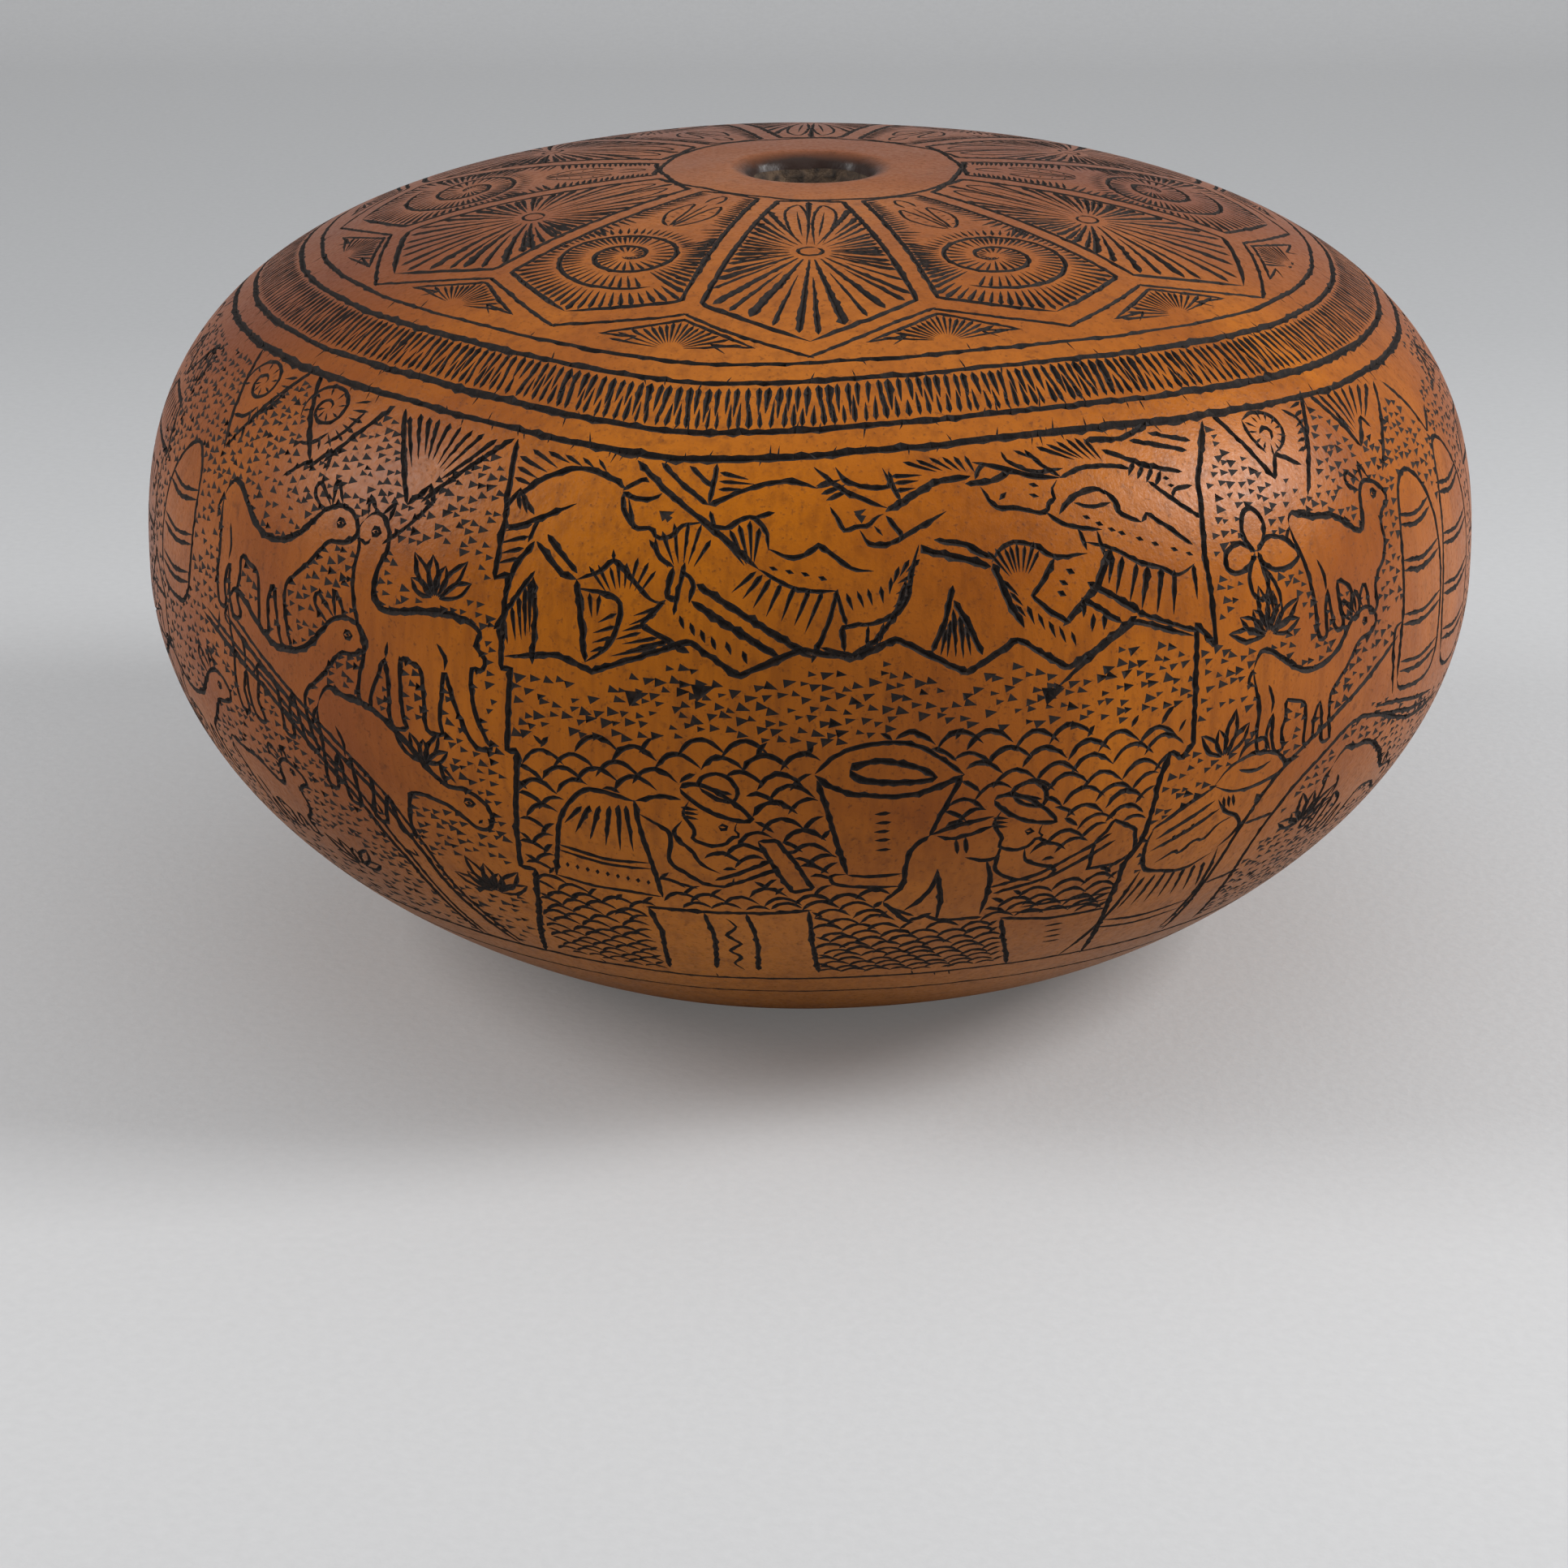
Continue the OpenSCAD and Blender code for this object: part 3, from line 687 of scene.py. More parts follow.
def harvesters():
    """Four pickers bend over the rows: long rounded backs, arms down into the leaves."""
    stroke([(-30.2, 23), (-27.6, 25.4), (-25, 26.8), (-22.6, 27), (-20.2, 26.2), (-18.6, 25.2)], 0.8,
           taper=(0.1, 0.1))
    straight([(-31, 21.6), (-29.8, 24), (-28.4, 22.4), (-27.6, 21.6)], 0.5)
    stroke([(-30.8, 21.6), (-30, 20), (-27, 21.3), (-23.4, 23.2)], 0.62)
    straight([(-30, 23.8), (-29.2, 21.9)], 0.5)
    straight([(-29.4, 23.6), (-28.4, 21.6)], 0.4)
    straight([(-18.9, 25), (-17, 26.5), (-16.3, 26.1)], 0.5)
    stroke([(-18.9, 24.9), (-17.4, 24.3), (-15.6, 24.4), (-14.8, 25)], 0.55)
    stroke([(-18.8, 24.8), (-18.5, 23.2), (-17.2, 21.2)], 0.7)
    stroke([(-18.2, 24.4), (-17.6, 22.6), (-17.1, 21.3), (-15.4, 21.3), (-14.8, 20.5), (-13.4, 20.6),
            (-12.3, 21.8), (-10.3, 22.2)], 0.5)
    punch(-14.1, 22.8, 1.2, 0.4)
    punch(-14.0, 22.6, 1.0, 2.4)
    straight([(-18, 28.5), (-14.4, 25.2), (-10.2, 22.2), (-8.2, 20.6), (-4.8, 17.8)], 0.75)
    straight([(-15.4, 28.4), (-12.8, 26), (-10, 24)], 0.65)
    straight([(-12.4, 28.2), (-10.9, 26.9), (-9.8, 25.9)], 0.6)
    straight([(-9.6, 28.6), (-9.7, 26.4), (-10, 24)], 0.5)
    stroke([(-10, 24), (-6, 25.9), (-2.2, 26.8), (0.8, 26)], 0.6, taper=(0.05, 0.15))
    pleats([(-9.2, 27.6), (-9.2, 26.6), (-9.2, 25.7)], [(-6.2, 26.9), (-5.6, 26.4), (-6.6, 25.8)], 0.45)
    pleats([(-31, 27.6), (-30.9, 26.4), (-30.8, 25.2), (-29.8, 28.6), (-28, 28.6), (-26, 28.4), (-24, 28.3),
            (-22.2, 28.3)],
           [(-27.4, 26.2), (-28.2, 25.4), (-28.6, 24.6), (-26.4, 26.8), (-25.2, 27.5), (-23.8, 27.3),
            (-22.4, 27.2), (-21, 26.9)], 0.5)
    stroke([(-9.8, 23.4), (-9.2, 21.6)], 0.4)
    stroke([(-10.2, 22.1), (-8.2, 21.7), (-7, 22.4), (-5.6, 22.9), (-4.2, 21.4), (-3.9, 19.6)], 0.55)
    straight([(-5.6, 22.8), (-3.4, 23.4)], 0.5)
    stroke([(-14.9, 20.4), (-14.4, 18.6), (-12.8, 17.7)], 0.6)
    straight([(-12.9, 17.7), (-13.4, 15), (-12.4, 14.4)], 0.6)
    straight([(-11.8, 18.2), (-12.4, 14.6), (-12.6, 13.2)], 0.42)
    stroke([(-12.2, 17.4), (-10.9, 16.4), (-11.2, 14.4)], 0.55)
    fan(-12, 15.9, 62, 128, 2.2, 5.8, 6, 0.5)
    fan(-5.4, 17.2, 84, 128, 1.2, 5.2, 5, 0.55)
    straight([(-10.6, 16.2), (-5.6, 13.2), (0.4, 9.6)], 0.95, (0.04, 0.08))
    straight([(-11, 14.6), (-6.4, 11.8), (-2.6, 9.6)], 0.95, (0.05, 0.15))
    stroke([(-4.8, 17.8), (-1.2, 16), (2.6, 15.8)], 0.45)
    stroke([(-4, 19.8), (-1.6, 18.9), (0.2, 19.6), (1, 20), (3.8, 18), (6, 17.6)], 0.5)
    dashes([(-3.4, 17.9), (-1.9, 17.6), (-0.4, 17.4), (1.2, 17)], 0.42, 0.9, 160)
    pleats([(-5, 17.6), (-4.4, 17.3), (-3.6, 17), (-2.6, 16.6), (-1.4, 16.3), (0, 16), (1.2, 15.8)],
           [(-7.2, 15.6), (-6.2, 15), (-5.2, 14.2), (-4, 13.4), (-2.6, 13), (-1.4, 12.6), (-0.4, 12)], 0.5)
    dashes([(-11.8, 12.6), (-10.8, 12), (-9.8, 11.4), (-8.8, 10.8), (-7.4, 10.4), (-5.9, 9.6)], 0.6, 1.3, 110)
    straight([(-15.8, 12), (-13.4, 14.6)], 0.55)
    straight([(-15.8, 12), (-14.2, 11.4), (-11, 9.8)], 0.7)
    straight([(2.6, 16), (1.8, 13), (0.2, 9.2)], 0.55)
    straight([(2.4, 15.8), (3.4, 12.6)], 0.4)
    straight([(-26.8, 19), (-23.8, 16.2), (-22.2, 15.8)], 0.75)
    straight([(-25.8, 19.8), (-22.2, 16.4)], 0.75)
    stroke([(-22.2, 15.8), (-20, 16.8), (-18.8, 17.9), (-17.4, 17), (-15, 14.6), (-13.4, 14.2)], 0.55)
    straight([(-18.9, 19), (-18.7, 17.8)], 0.45)
    straight([(-22.2, 15.8), (-21.4, 12), (-20.9, 8.2)], 0.8)
    stroke([(-22, 15), (-19.6, 14.8), (-17.8, 14), (-17.9, 11.6), (-19, 9.6), (-20.9, 8.2)], 0.6)
    pleats([(-21.6, 14.6), (-20.8, 14.7), (-19.8, 14.6), (-18, 13), (-18, 11.8), (-18.2, 10.8), (-19, 9.8)],
           [(-21.2, 12.9), (-20.4, 12.4), (-19.9, 12.6), (-19.8, 12), (-20.2, 11), (-20.2, 10.1),
            (-20.4, 9.2)], 0.45)
    fan(-17.4, 12.8, 58, 132, 2.6, 5.4, 8, 0.45)
    pleats([(-14, 13.8), (-14.2, 13.2), (-15, 12.2), (-15.6, 11.4), (-14, 11), (-13, 10.8), (-14, 10.2)],
           [(-16.4, 12.9), (-16.8, 12), (-17.4, 11.4), (-18, 10.6), (-17.4, 10.2), (-17, 9.6), (-18.4, 9)],
           0.42)
    straight([(-27, 19), (-28.6, 16.4), (-29.4, 13.4)], 0.7)
    straight([(-27.4, 20.4), (-27, 21.2), (-27.7, 18.8)], 0.5)
    pleats([(-27.6, 20.6), (-27.7, 19.4), (-28, 18.2), (-28.4, 17.2)],
           [(-30.4, 19.6), (-30.6, 18.4), (-30.4, 17.4), (-30.6, 16.4)], 0.5)
    straight([(-30.2, 10.2), (-27.4, 14.8), (-26.5, 16.2)], 0.6)
    straight([(-26.6, 15.6), (-26, 12), (-26.1, 7.4)], 0.6)
    pleats([(-29.2, 11.4), (-28.5, 12.6), (-27.9, 13.6), (-27.3, 14.6), (-26.8, 15.2), (-29.8, 10.6)],
           [(-28.7, 9), (-27.9, 9.4), (-27.3, 9.6), (-26.9, 10), (-26.5, 10.4), (-29.4, 8.7)], 0.5)
    straight([(1, 10.6), (3.9, 9.8), (6, 11.2), (8, 13.6), (9, 16.8)], 0.5)
    stroke([(3.8, 12.6), (6.4, 12.9), (8.8, 14.4), (9.6, 17.6), (10.4, 20)], 0.6)
    pleats([(3.4, 15.6), (4.4, 15.8), (5.4, 16), (6.6, 16.2), (7.6, 17), (8.4, 18), (9.4, 18.6)],
           [(4, 14), (5, 14.2), (5.8, 14.4), (6.8, 14.6), (7.4, 15.4), (7.8, 16.4), (8.4, 17)], 0.45)
    pleats([(9.2, 15.2), (9.6, 16.2), (9.9, 17.2), (10.4, 18.6)], [(7.7, 14.2), (8, 15.4), (8.2, 16.4),
                                                                   (9, 17.4)], 0.45)
    straight([(3.2, 10.2), (2.9, 12.4), (5, 12.8)], 0.5)
    straight([(5.2, 10.6), (5.4, 12.6)], 0.42)
    straight([(6.4, 11), (6.8, 12.8)], 0.42)
    straight([(13.4, 16), (12.6, 13), (11.2, 9.9)], 0.6)
    straight([(13.4, 14.6), (14.8, 12), (15.9, 9.4)], 0.75)
    pleats([(13.3, 13.8), (13, 12.8), (13.9, 13.2), (14.4, 12.4), (12.6, 12)],
           [(13.4, 9.4), (12.6, 9.4), (14.1, 9.2), (14.8, 9.4), (12, 9.6)], 0.5)
    stroke([(0.4, 28.4), (3, 26), (6, 24.4), (7.6, 23.8)], 0.6)
    stroke([(2.6, 28.4), (3.6, 26.8), (6, 26), (8, 26.2), (7.4, 28.2)], 0.5)
    straight([(0.6, 26.2), (2.4, 27), (1.4, 26.6)], 0.45)
    for k in range(3):
        straight([(0.6 + 0.5 * k, 26 - 0.65 * k), (3.2 + 0.4 * k, 27 - 0.6 * k)], 0.5, (0.1, 0.5))
    stroke([(2, 24), (2.8, 22.6), (3.4, 21.6), (4.6, 22), (5.6, 22), (6.4, 22.8), (7.2, 23.2)], 0.5)
    punch(4.9, 23.4, 1.0, 0.5)
    punch(4.9, 22.9, 0.9, 2.6)
    stroke([(4.8, 21.6), (5.8, 20.2), (8, 20.3), (10, 21.4), (13.4, 23.2)], 0.55)
    straight([(7.4, 23), (8.9, 21), (8.6, 20.3)], 0.55)
    straight([(6.2, 22), (7, 21)], 0.42)
    stroke([(7.4, 23.4), (10.2, 25), (13, 26.4), (16.4, 26.8)], 0.9, taper=(0.08, 0.1))
    straight([(8, 27.8), (8.4, 25.6), (9, 24.4)], 0.5)
    pleats([(8.2, 27.2), (8.4, 26.4), (8.5, 25.6), (9.6, 28.8), (11, 29), (12.4, 29.2), (13.8, 29.2),
            (15, 29.2), (16.2, 29.2)],
           [(11.4, 27.2), (11, 26.6), (10.6, 25.8), (13, 27.5), (13.6, 27.6), (14.6, 27.6), (15.4, 27.5),
            (16, 27.4), (16.9, 27.2)], 0.5)
    stroke([(15.7, 26), (18.4, 26.1), (21, 27.2)], 0.8, taper=(0.1, 0.15))
    stroke([(16.8, 26.4), (17.6, 27.8), (18.6, 28.1)], 0.5)
    stroke([(17.2, 25.6), (18.4, 23.4), (20.6, 23), (22.6, 22.4), (23.6, 22.4), (24, 23.4), (24.6, 23.5),
            (24.6, 24.6), (25.4, 25.6)], 0.55)
    straight([(18.9, 24), (19.8, 24.8)], 0.42)
    dashes([(22.8, 25.3), (22.6, 24.2)], 0.45, 1.1, 160)
    stroke([(16.8, 28.4), (19.4, 27.6), (22.6, 26.4), (25.8, 25.8)], 0.7)
    stroke([(23.4, 22.4), (25, 21), (27.4, 20.3), (29, 20)], 0.55)
    stroke([(24.8, 22), (26.6, 23.6), (29.2, 24.2), (30.6, 23.4)], 0.75)
    stroke([(26.6, 23), (28.4, 22.4), (30.6, 22.6)], 0.4)
    stroke([(30.2, 24), (31.2, 22.4), (31.2, 21.4), (33.4, 20.2)], 0.75)
    straight([(33.4, 20.2), (34.2, 21), (35.4, 20), (38.6, 17.2)], 0.45)
    dashes([(27.6, 21.4), (28.8, 20.6), (30, 19.9), (31, 19.4), (32.8, 18.6), (34.4, 17.9), (36.4, 17.1),
            (38, 16.4)], 0.45, 0.9, 155)
    straight([(10.6, 20), (11, 19.4), (14, 18.6), (17.2, 17.5)], 0.95)
    straight([(11.9, 20.4), (15, 19.8), (17.4, 18.2)], 0.7)
    stroke([(17.3, 17.9), (18.4, 19.2), (20, 19.7), (22, 19), (23.8, 17.9), (27, 17.9)], 0.6)
    straight([(27, 18.2), (26.7, 19.8), (26.4, 20.4)], 0.5)
    straight([(28.4, 20), (28.8, 17.2)], 0.42)
    fan(19.9, 15.2, 58, 128, 1.6, 4.5, 8, 0.45)
    straight([(17.4, 17.8), (18.4, 14.6), (20, 11.6)], 0.9, (0.04, 0.15))
    pleats([(18.2, 16.2), (18.8, 15), (19.3, 13.8), (20.4, 13.6), (21.4, 12.8), (22.4, 12), (23.4, 11.4),
            (24.6, 10.8)],
           [(19.6, 14.6), (20, 13.6), (20.2, 12.6), (21, 11.8), (22, 11.2), (23, 10.4), (24, 9.8),
            (25, 9.4)], 0.5)
    straight([(23.6, 17.8), (22, 15.6), (21, 14.4), (22.6, 12.8), (24.6, 11.6)], 0.6)
    dashes([(25, 16.4), (24.2, 15.4), (23.9, 14.4)], 0.75, 1.0, 150)
    straight([(29.6, 18), (27.4, 14.6), (23.8, 11.4)], 0.95, (0.04, 0.1))
    straight([(26.6, 15.2), (31.8, 11.8)], 0.9)
    straight([(25.8, 13.8), (29.8, 11)], 0.7)
    dashes([(26, 12.8), (26.8, 11.4), (28, 11.4)], 0.75, 1.7, 82)
    straight([(31.4, 11.4), (28, 9.4), (22.9, 5.6)], 0.95, (0.06, 0.4))
    straight([(31.4, 11.8), (34, 10.6), (38, 9)], 0.5)
    pleats([(29.6, 17.6), (30.6, 17.2), (32, 16.4), (33.2, 16), (34.6, 15.6), (36, 15.2), (38.2, 15.4)],
           [(28.8, 14.8), (29.4, 13.6), (30.8, 12.8), (32, 12), (33.6, 11.4), (35.4, 11), (38.2, 12)], 0.75)
    stroke([(27, 19), (29.8, 18), (32.4, 16.4), (34.6, 15.6), (36.4, 14.6), (38.4, 15.4)], 0.5)
    stroke([(25.8, 25.8), (28.4, 26.6), (31.4, 26.5), (34, 25.8)], 0.6, taper=(0.1, 0.15))
    for k in range(4):
        straight([(34.6 + 0.9 * k, 26.6 - 0.5 * k), (33.4 + 0.9 * k, 25.1 - 0.5 * k)], 0.55, (0.1, 0.4))
    straight([(31.4, 28.4), (35.6, 26), (39.8, 24.6)], 0.65)
    straight([(35.4, 24.2), (37.6, 21.9), (40.3, 19.6)], 0.5)
    stroke([(37.6, 22), (38.2, 22.9), (40.4, 23)], 0.5)
    dashes([(37.6, 24.2), (37.9, 23.4)], 0.4, 0.8, 170)
    stroke([(20.2, 29.4), (20.6, 28.2), (23, 26.8), (26.4, 26.8)], 0.5)
    straight([(22.8, 29.4), (24.2, 27.4), (25.9, 25.9)], 0.5)
    pleats([(21.6, 29.4), (24.2, 29.6), (25.4, 29.8), (26.6, 30), (27.8, 30.2), (28.8, 30.2), (29.8, 30)],
           [(24, 28), (28, 27.6), (28.6, 27.7), (29, 27.6), (29.8, 27.4), (30.4, 27.4), (31, 27.2)], 0.45)
    straight([(30, 29.8), (34, 29.4), (36.8, 30.2), (38.2, 31.2)], 0.75)
    straight([(35, 29), (37.6, 28.2), (41.4, 26.8)], 0.6)
    straight([(37.6, 29.6), (42.4, 27.8)], 0.5)


def field():
    """Dots below the hills, then tilled ground behind the diggers down to the foot rings."""
    dots = [(-28, 6.6)] + [(x, y - 1.6) for x, y in HILLS[1:]] + [(37.2, 2.2), (28, 1.6), (17, 2.4),
                                                                  (8, 2.9), (2, 1.2), (-8, 1.8), (-20, 1.0),
                                                                  (-28, 0.4)]
    stipple(dots, 1.3, size=0.9)
    for x, y in ((-9.8, 6.4), (22.6, 5.2), (-16, 5.4)):
        punch(x, y, 1.9, 0.3)
    ground = [(-28, 0.6), (-20, 1.2), (-8, 2.0), (2, 1.4), (8, 3.1), (17, 2.6), (28, 1.8), (37, 2.4),
              (36.4, -3), (34.4, -3.4), (33.6, -9),
              (32.4, -15), (32.7, -21), (33.6, -31), (24, -33), (0, -33.6), (-17, -35), (-31.4, -33),
              (-29.5, -21.9), (-28.2, -15.4),
              (-29.2, -14), (-28.1, -4.4)]
    keep_out = [fat(POT, 0.3), fat(STOOPED_SKIRT, 0.3), fat(STOOPED_BODY, 0.2), fat(DIGGER, 0.2), SACK_NEAR,
                SACK_FAR,
                [(-9, -13.8), (-3.4, -10.8), (-4.8, -8.6), (-3, -8.4), (0.6, -15), (-1.8, -16),
                 (-3.4, -12.6), (-8.2, -15.4)],
                [(18, -15.8), (28, -11), (29.8, -8.6), (33.4, -10.4), (33.2, -13.6), (28.4, -15.2),
                 (24, -15.6), (18.6, -17.2)]]
    scales(ground, keep_out, 3.9, 2.2)


# Spacing and size of the punch marks between the figures of the side panels.
SIDE_GAP, SIDE_DOT = 1.3, 0.84
# Each llama's back is cut again, from its start along the points of the outline that back counts.
LLAMAS = {
    "walking": {
        "outline": [(-11.4, 3.6), (-10.2, 5.5), (-8.2, 4.9), (-5.8, 3.2), (-3, 1.7), (0, 1.6), (2.8, 2.8),
                    (4.6, 4.6), (6, 6),
                    (8, 6.7), (9.8, 6.2), (10.8, 5), (10.5, 3.8), (9, 3.2), (7.4, 3), (6.2, 1.8),
                    (4.8, 0.2), (3.2, -1.2),
                    (2, -2.4), (2, -4.6), (2.6, -7.2), (3, -8.4), (1.5, -8.4), (0.7, -5.4), (0, -2.9),
                    (-0.8, -5), (-0.6, -7.6),
                    (-2, -7.8), (-2.3, -4.8), (-2.8, -2.4), (-4.4, -1.8), (-6, -1.4), (-5.9, -3.4),
                    (-6.4, -5.2), (-5.6, -7.4),
                    (-7.1, -7.6), (-8, -5), (-8, -2.6), (-8.9, -4.6), (-8.5, -7), (-9.9, -7.1),
                    (-10.5, -4.4), (-10.4, -1.6), (-11, 1.2)],
        "start": [(-11, 4.4)],
        "back": (1, 9),
        "ears": [[(5.6, 5.6), (3.6, 7.2), (4, 8.4), (6.4, 6.4)], [(6.6, 6.4), (6.2, 9.2), (8, 6.8)]],
        "marks": [[(-11.4, 3.6), (-12.2, 2.2), (-11.2, 1.4)], [(-9, 1.2), (-8.2, -0.8), (-8.4, -2.4)],
                  [(9.4, 3.6), (10.4, 4)]],
        "eye": (8.3, 5),
    },
    "turned": {
        "outline": [(-7.1, 6), (-6, 6.9), (-4.6, 6.6), (-3.7, 5.2), (-3.5, 3.6), (-4.2, 2), (-4.5, 0.2),
                    (-4.1, -1.2), (-2.8, -1.9),
                    (0, -1.5), (3.4, -1.1), (6.4, -1.4), (7.9, -2.4), (7.4, -3.5), (8.4, -4.7), (8.1, -5.9),
                    (7.1, -5.7), (7, -7.6),
                    (7.4, -10), (8.4, -12.2), (9, -13.2), (7.3, -13.2), (6.1, -11.4), (5, -9), (4.1, -6.5),
                    (3.8, -8.8),
                    (3.5, -11.4), (3.8, -12.6), (2.1, -12.6), (1.8, -10), (1.5, -6.8), (0.2, -6.3),
                    (-0.8, -6.2), (-0.9, -9), (-0.6, -12),
                    (-0.3, -12.8), (-2.1, -12.8), (-2.3, -9.6), (-2.7, -6.5), (-3.6, -8.4), (-4.5, -10.4),
                    (-4.6, -11.5),
                    (-6, -11), (-5.8, -8.6), (-5.2, -6), (-6.2, -3.6), (-7, -1), (-7.2, 1.4), (-7, 3.4),
                    (-7.6, 4.8)],
        "start": [(-3.6, 3.2)],
        "back": (5, 13),
        "ears": [[(-6.8, 6.5), (-7.2, 8.4), (-5.8, 7)], [(-5.2, 6.8), (-3.8, 8.2), (-4.2, 6.2)]],
        "marks": [[(3.2, -4), (4.2, -5.2), (4.1, -6.4)], [(-7.2, 4.2), (-6.2, 3.8), (-5.8, 4.4)],
                  [(-2.6, -6.4), (-2.4, -4.8)]],
        "eye": (-5.4, 5.1),
    },
    "alert": {
        "outline": [(-7.4, 5.2), (-6.8, 6.2), (-5.6, 6.1), (-4.1, 5.4), (-0.8, 4.8), (1.6, 3.2), (3.1, 2.3),
                    (4, 2.9), (4.4, 4.4),
                    (4.9, 6), (6.2, 6.9), (8, 6.4), (9.5, 5), (9.3, 3.9), (8, 3.3), (7.3, 2.2), (7.5, 0.6),
                    (6.8, -1.4), (5.5, -2.5),
                    (4.8, -3.6), (5, -5), (4.9, -6.2), (3.6, -6.2), (3.3, -4.2), (2.7, -3.1), (1.9, -4.2),
                    (1.6, -6), (0.3, -6),
                    (0.6, -3.4), (-0.4, -2.3), (-1.6, -1.9), (-1.6, -3.8), (-0.9, -6.4), (-2.2, -6.6),
                    (-3, -4.2), (-3.3, -2.4),
                    (-3.8, -4.4), (-3.6, -6.8), (-4.9, -6.8), (-5.3, -3.6), (-6.2, 0.8), (-7.1, 3.4)],
        "start": [(-6.8, 6.2)],
        "back": (3, 10),
        "ears": [[(5, 6.1), (3.2, 7.2), (3.8, 8.4), (5.6, 6.9)], [(6, 6.9), (6.4, 9), (7.3, 6.9)]],
        "marks": [[(-7.4, 5), (-8.2, 3.8), (-7.4, 3)], [(-4.4, 1), (-3.6, -0.8), (-3.5, -2.4)],
                  [(8.4, 3.7), (9.3, 4.2)]],
        "eye": (7.2, 5.3),
    },
    "grazing": {
        "outline": [(-10.2, 2.4), (-8.8, 4.2), (-6.6, 3.7), (-4, 3.5), (-1.4, 2.3), (1.2, 0.3), (3.4, -2),
                    (5, -3.1), (6.8, -3.1),
                    (8.6, -4), (9.3, -5.4), (8.8, -7.2), (7.4, -7.5), (6, -6.4), (4.4, -5.3), (2.2, -4.8),
                    (0.4, -4.9), (-0.4, -6.8),
                    (-0.9, -8.8), (-0.9, -10.4), (-2.4, -10.5), (-2.6, -8.4), (-2.8, -6), (-3.7, -7.8),
                    (-4.2, -9.6), (-5.6, -9.4),
                    (-5, -7), (-4.6, -4.6), (-5.8, -3.4), (-6.8, -2.8), (-6.8, -5.2), (-7.1, -8),
                    (-8.5, -8), (-8.4, -5.4), (-8.5, -2.8),
                    (-9.3, -4.6), (-9.8, -7), (-11.1, -6.6), (-10.6, -3.8), (-10.4, -1.2), (-10.6, 0.8)],
        "start": [(-9.4, 3.6)],
        "back": (1, 8),
        "ears": [[(5, -3.1), (4.4, -0.8), (6, -2.6)], [(4.2, -2.7), (2.8, -1.2), (4, -0.6)]],
        "marks": [[(-10.3, 2), (-11.2, 0.6), (-10.4, -0.4)], [(-8.2, 0.4), (-7.4, -1.2), (-7.5, -2.8)],
                  [(7.6, -6.9), (8.2, -6.3)]],
        "eye": (7, -4.6),
    },
}


def llama(x, y, size=1.0, flip=1, pose="walking"):
    """A llama with long ears and four short legs; gives its outline."""
    at = placed(x, y, size, flip)
    drawn = LLAMAS[pose]
    line = shape(at(drawn["outline"]), 0.55 * size, 3, 0.2)
    first, last = drawn["back"]
    stroke(at(drawn["start"] + drawn["outline"][first:last]), 0.9 * size, taper=(0.1, 0.12))
    for mark in drawn["ears"]:
        stroke(at(mark), 0.46)
    for mark in drawn["marks"]:
        stroke(at(mark), 0.42)
    ex, ey = drawn["eye"]
    shape(at([(ex - 0.55, ey), (ex, ey + 0.45), (ex + 0.6, ey + 0.05), (ex, ey - 0.4)]), 0.4, 3)
    stroke(at([(ex - 0.2, ey + 0.05), (ex + 0.3, ey)]), 0.4, 2)
    return line


def aloe(x, y, size=1.0, low=20, high=160, count=7):
    """A low plant: pointed leaves out of one foot."""
    for i, a in enumerate(np.radians(np.linspace(low, high, count))):
        r = size * (5.4 + 1.2 * math.sin(i * 2.1))
        d, n = np.array([math.cos(a), math.sin(a)]), np.array([-math.sin(a), math.cos(a)])
        foot = np.array([x, y]) + d * 0.6 * size
        tip = np.array([x, y]) + d * r
        for side in (-1, 1):
            stroke([foot, foot + d * r * 0.45 + n * side * 0.75 * size, tip], 0.4 if side < 0 else 0.55)
    reach = 6.6 * size
    round_it = np.linspace(math.radians(low - 12), math.radians(high + 12), 9)
    return [(x + reach * math.cos(a), y + reach * math.sin(a)) for a in round_it] + [(x, y - 0.6)]


def banded_stack(points, bands):
    """A tall bound bundle: rounded top and pairs of bands."""
    line = shape(points, 0.55)
    for left, right, y in bands:
        for k in (0, -1.0):
            stroke([(left, y + k), ((left + right) / 2, y + k - 0.7), (right, y + k)], 0.55 if k else 0.4)
    return line


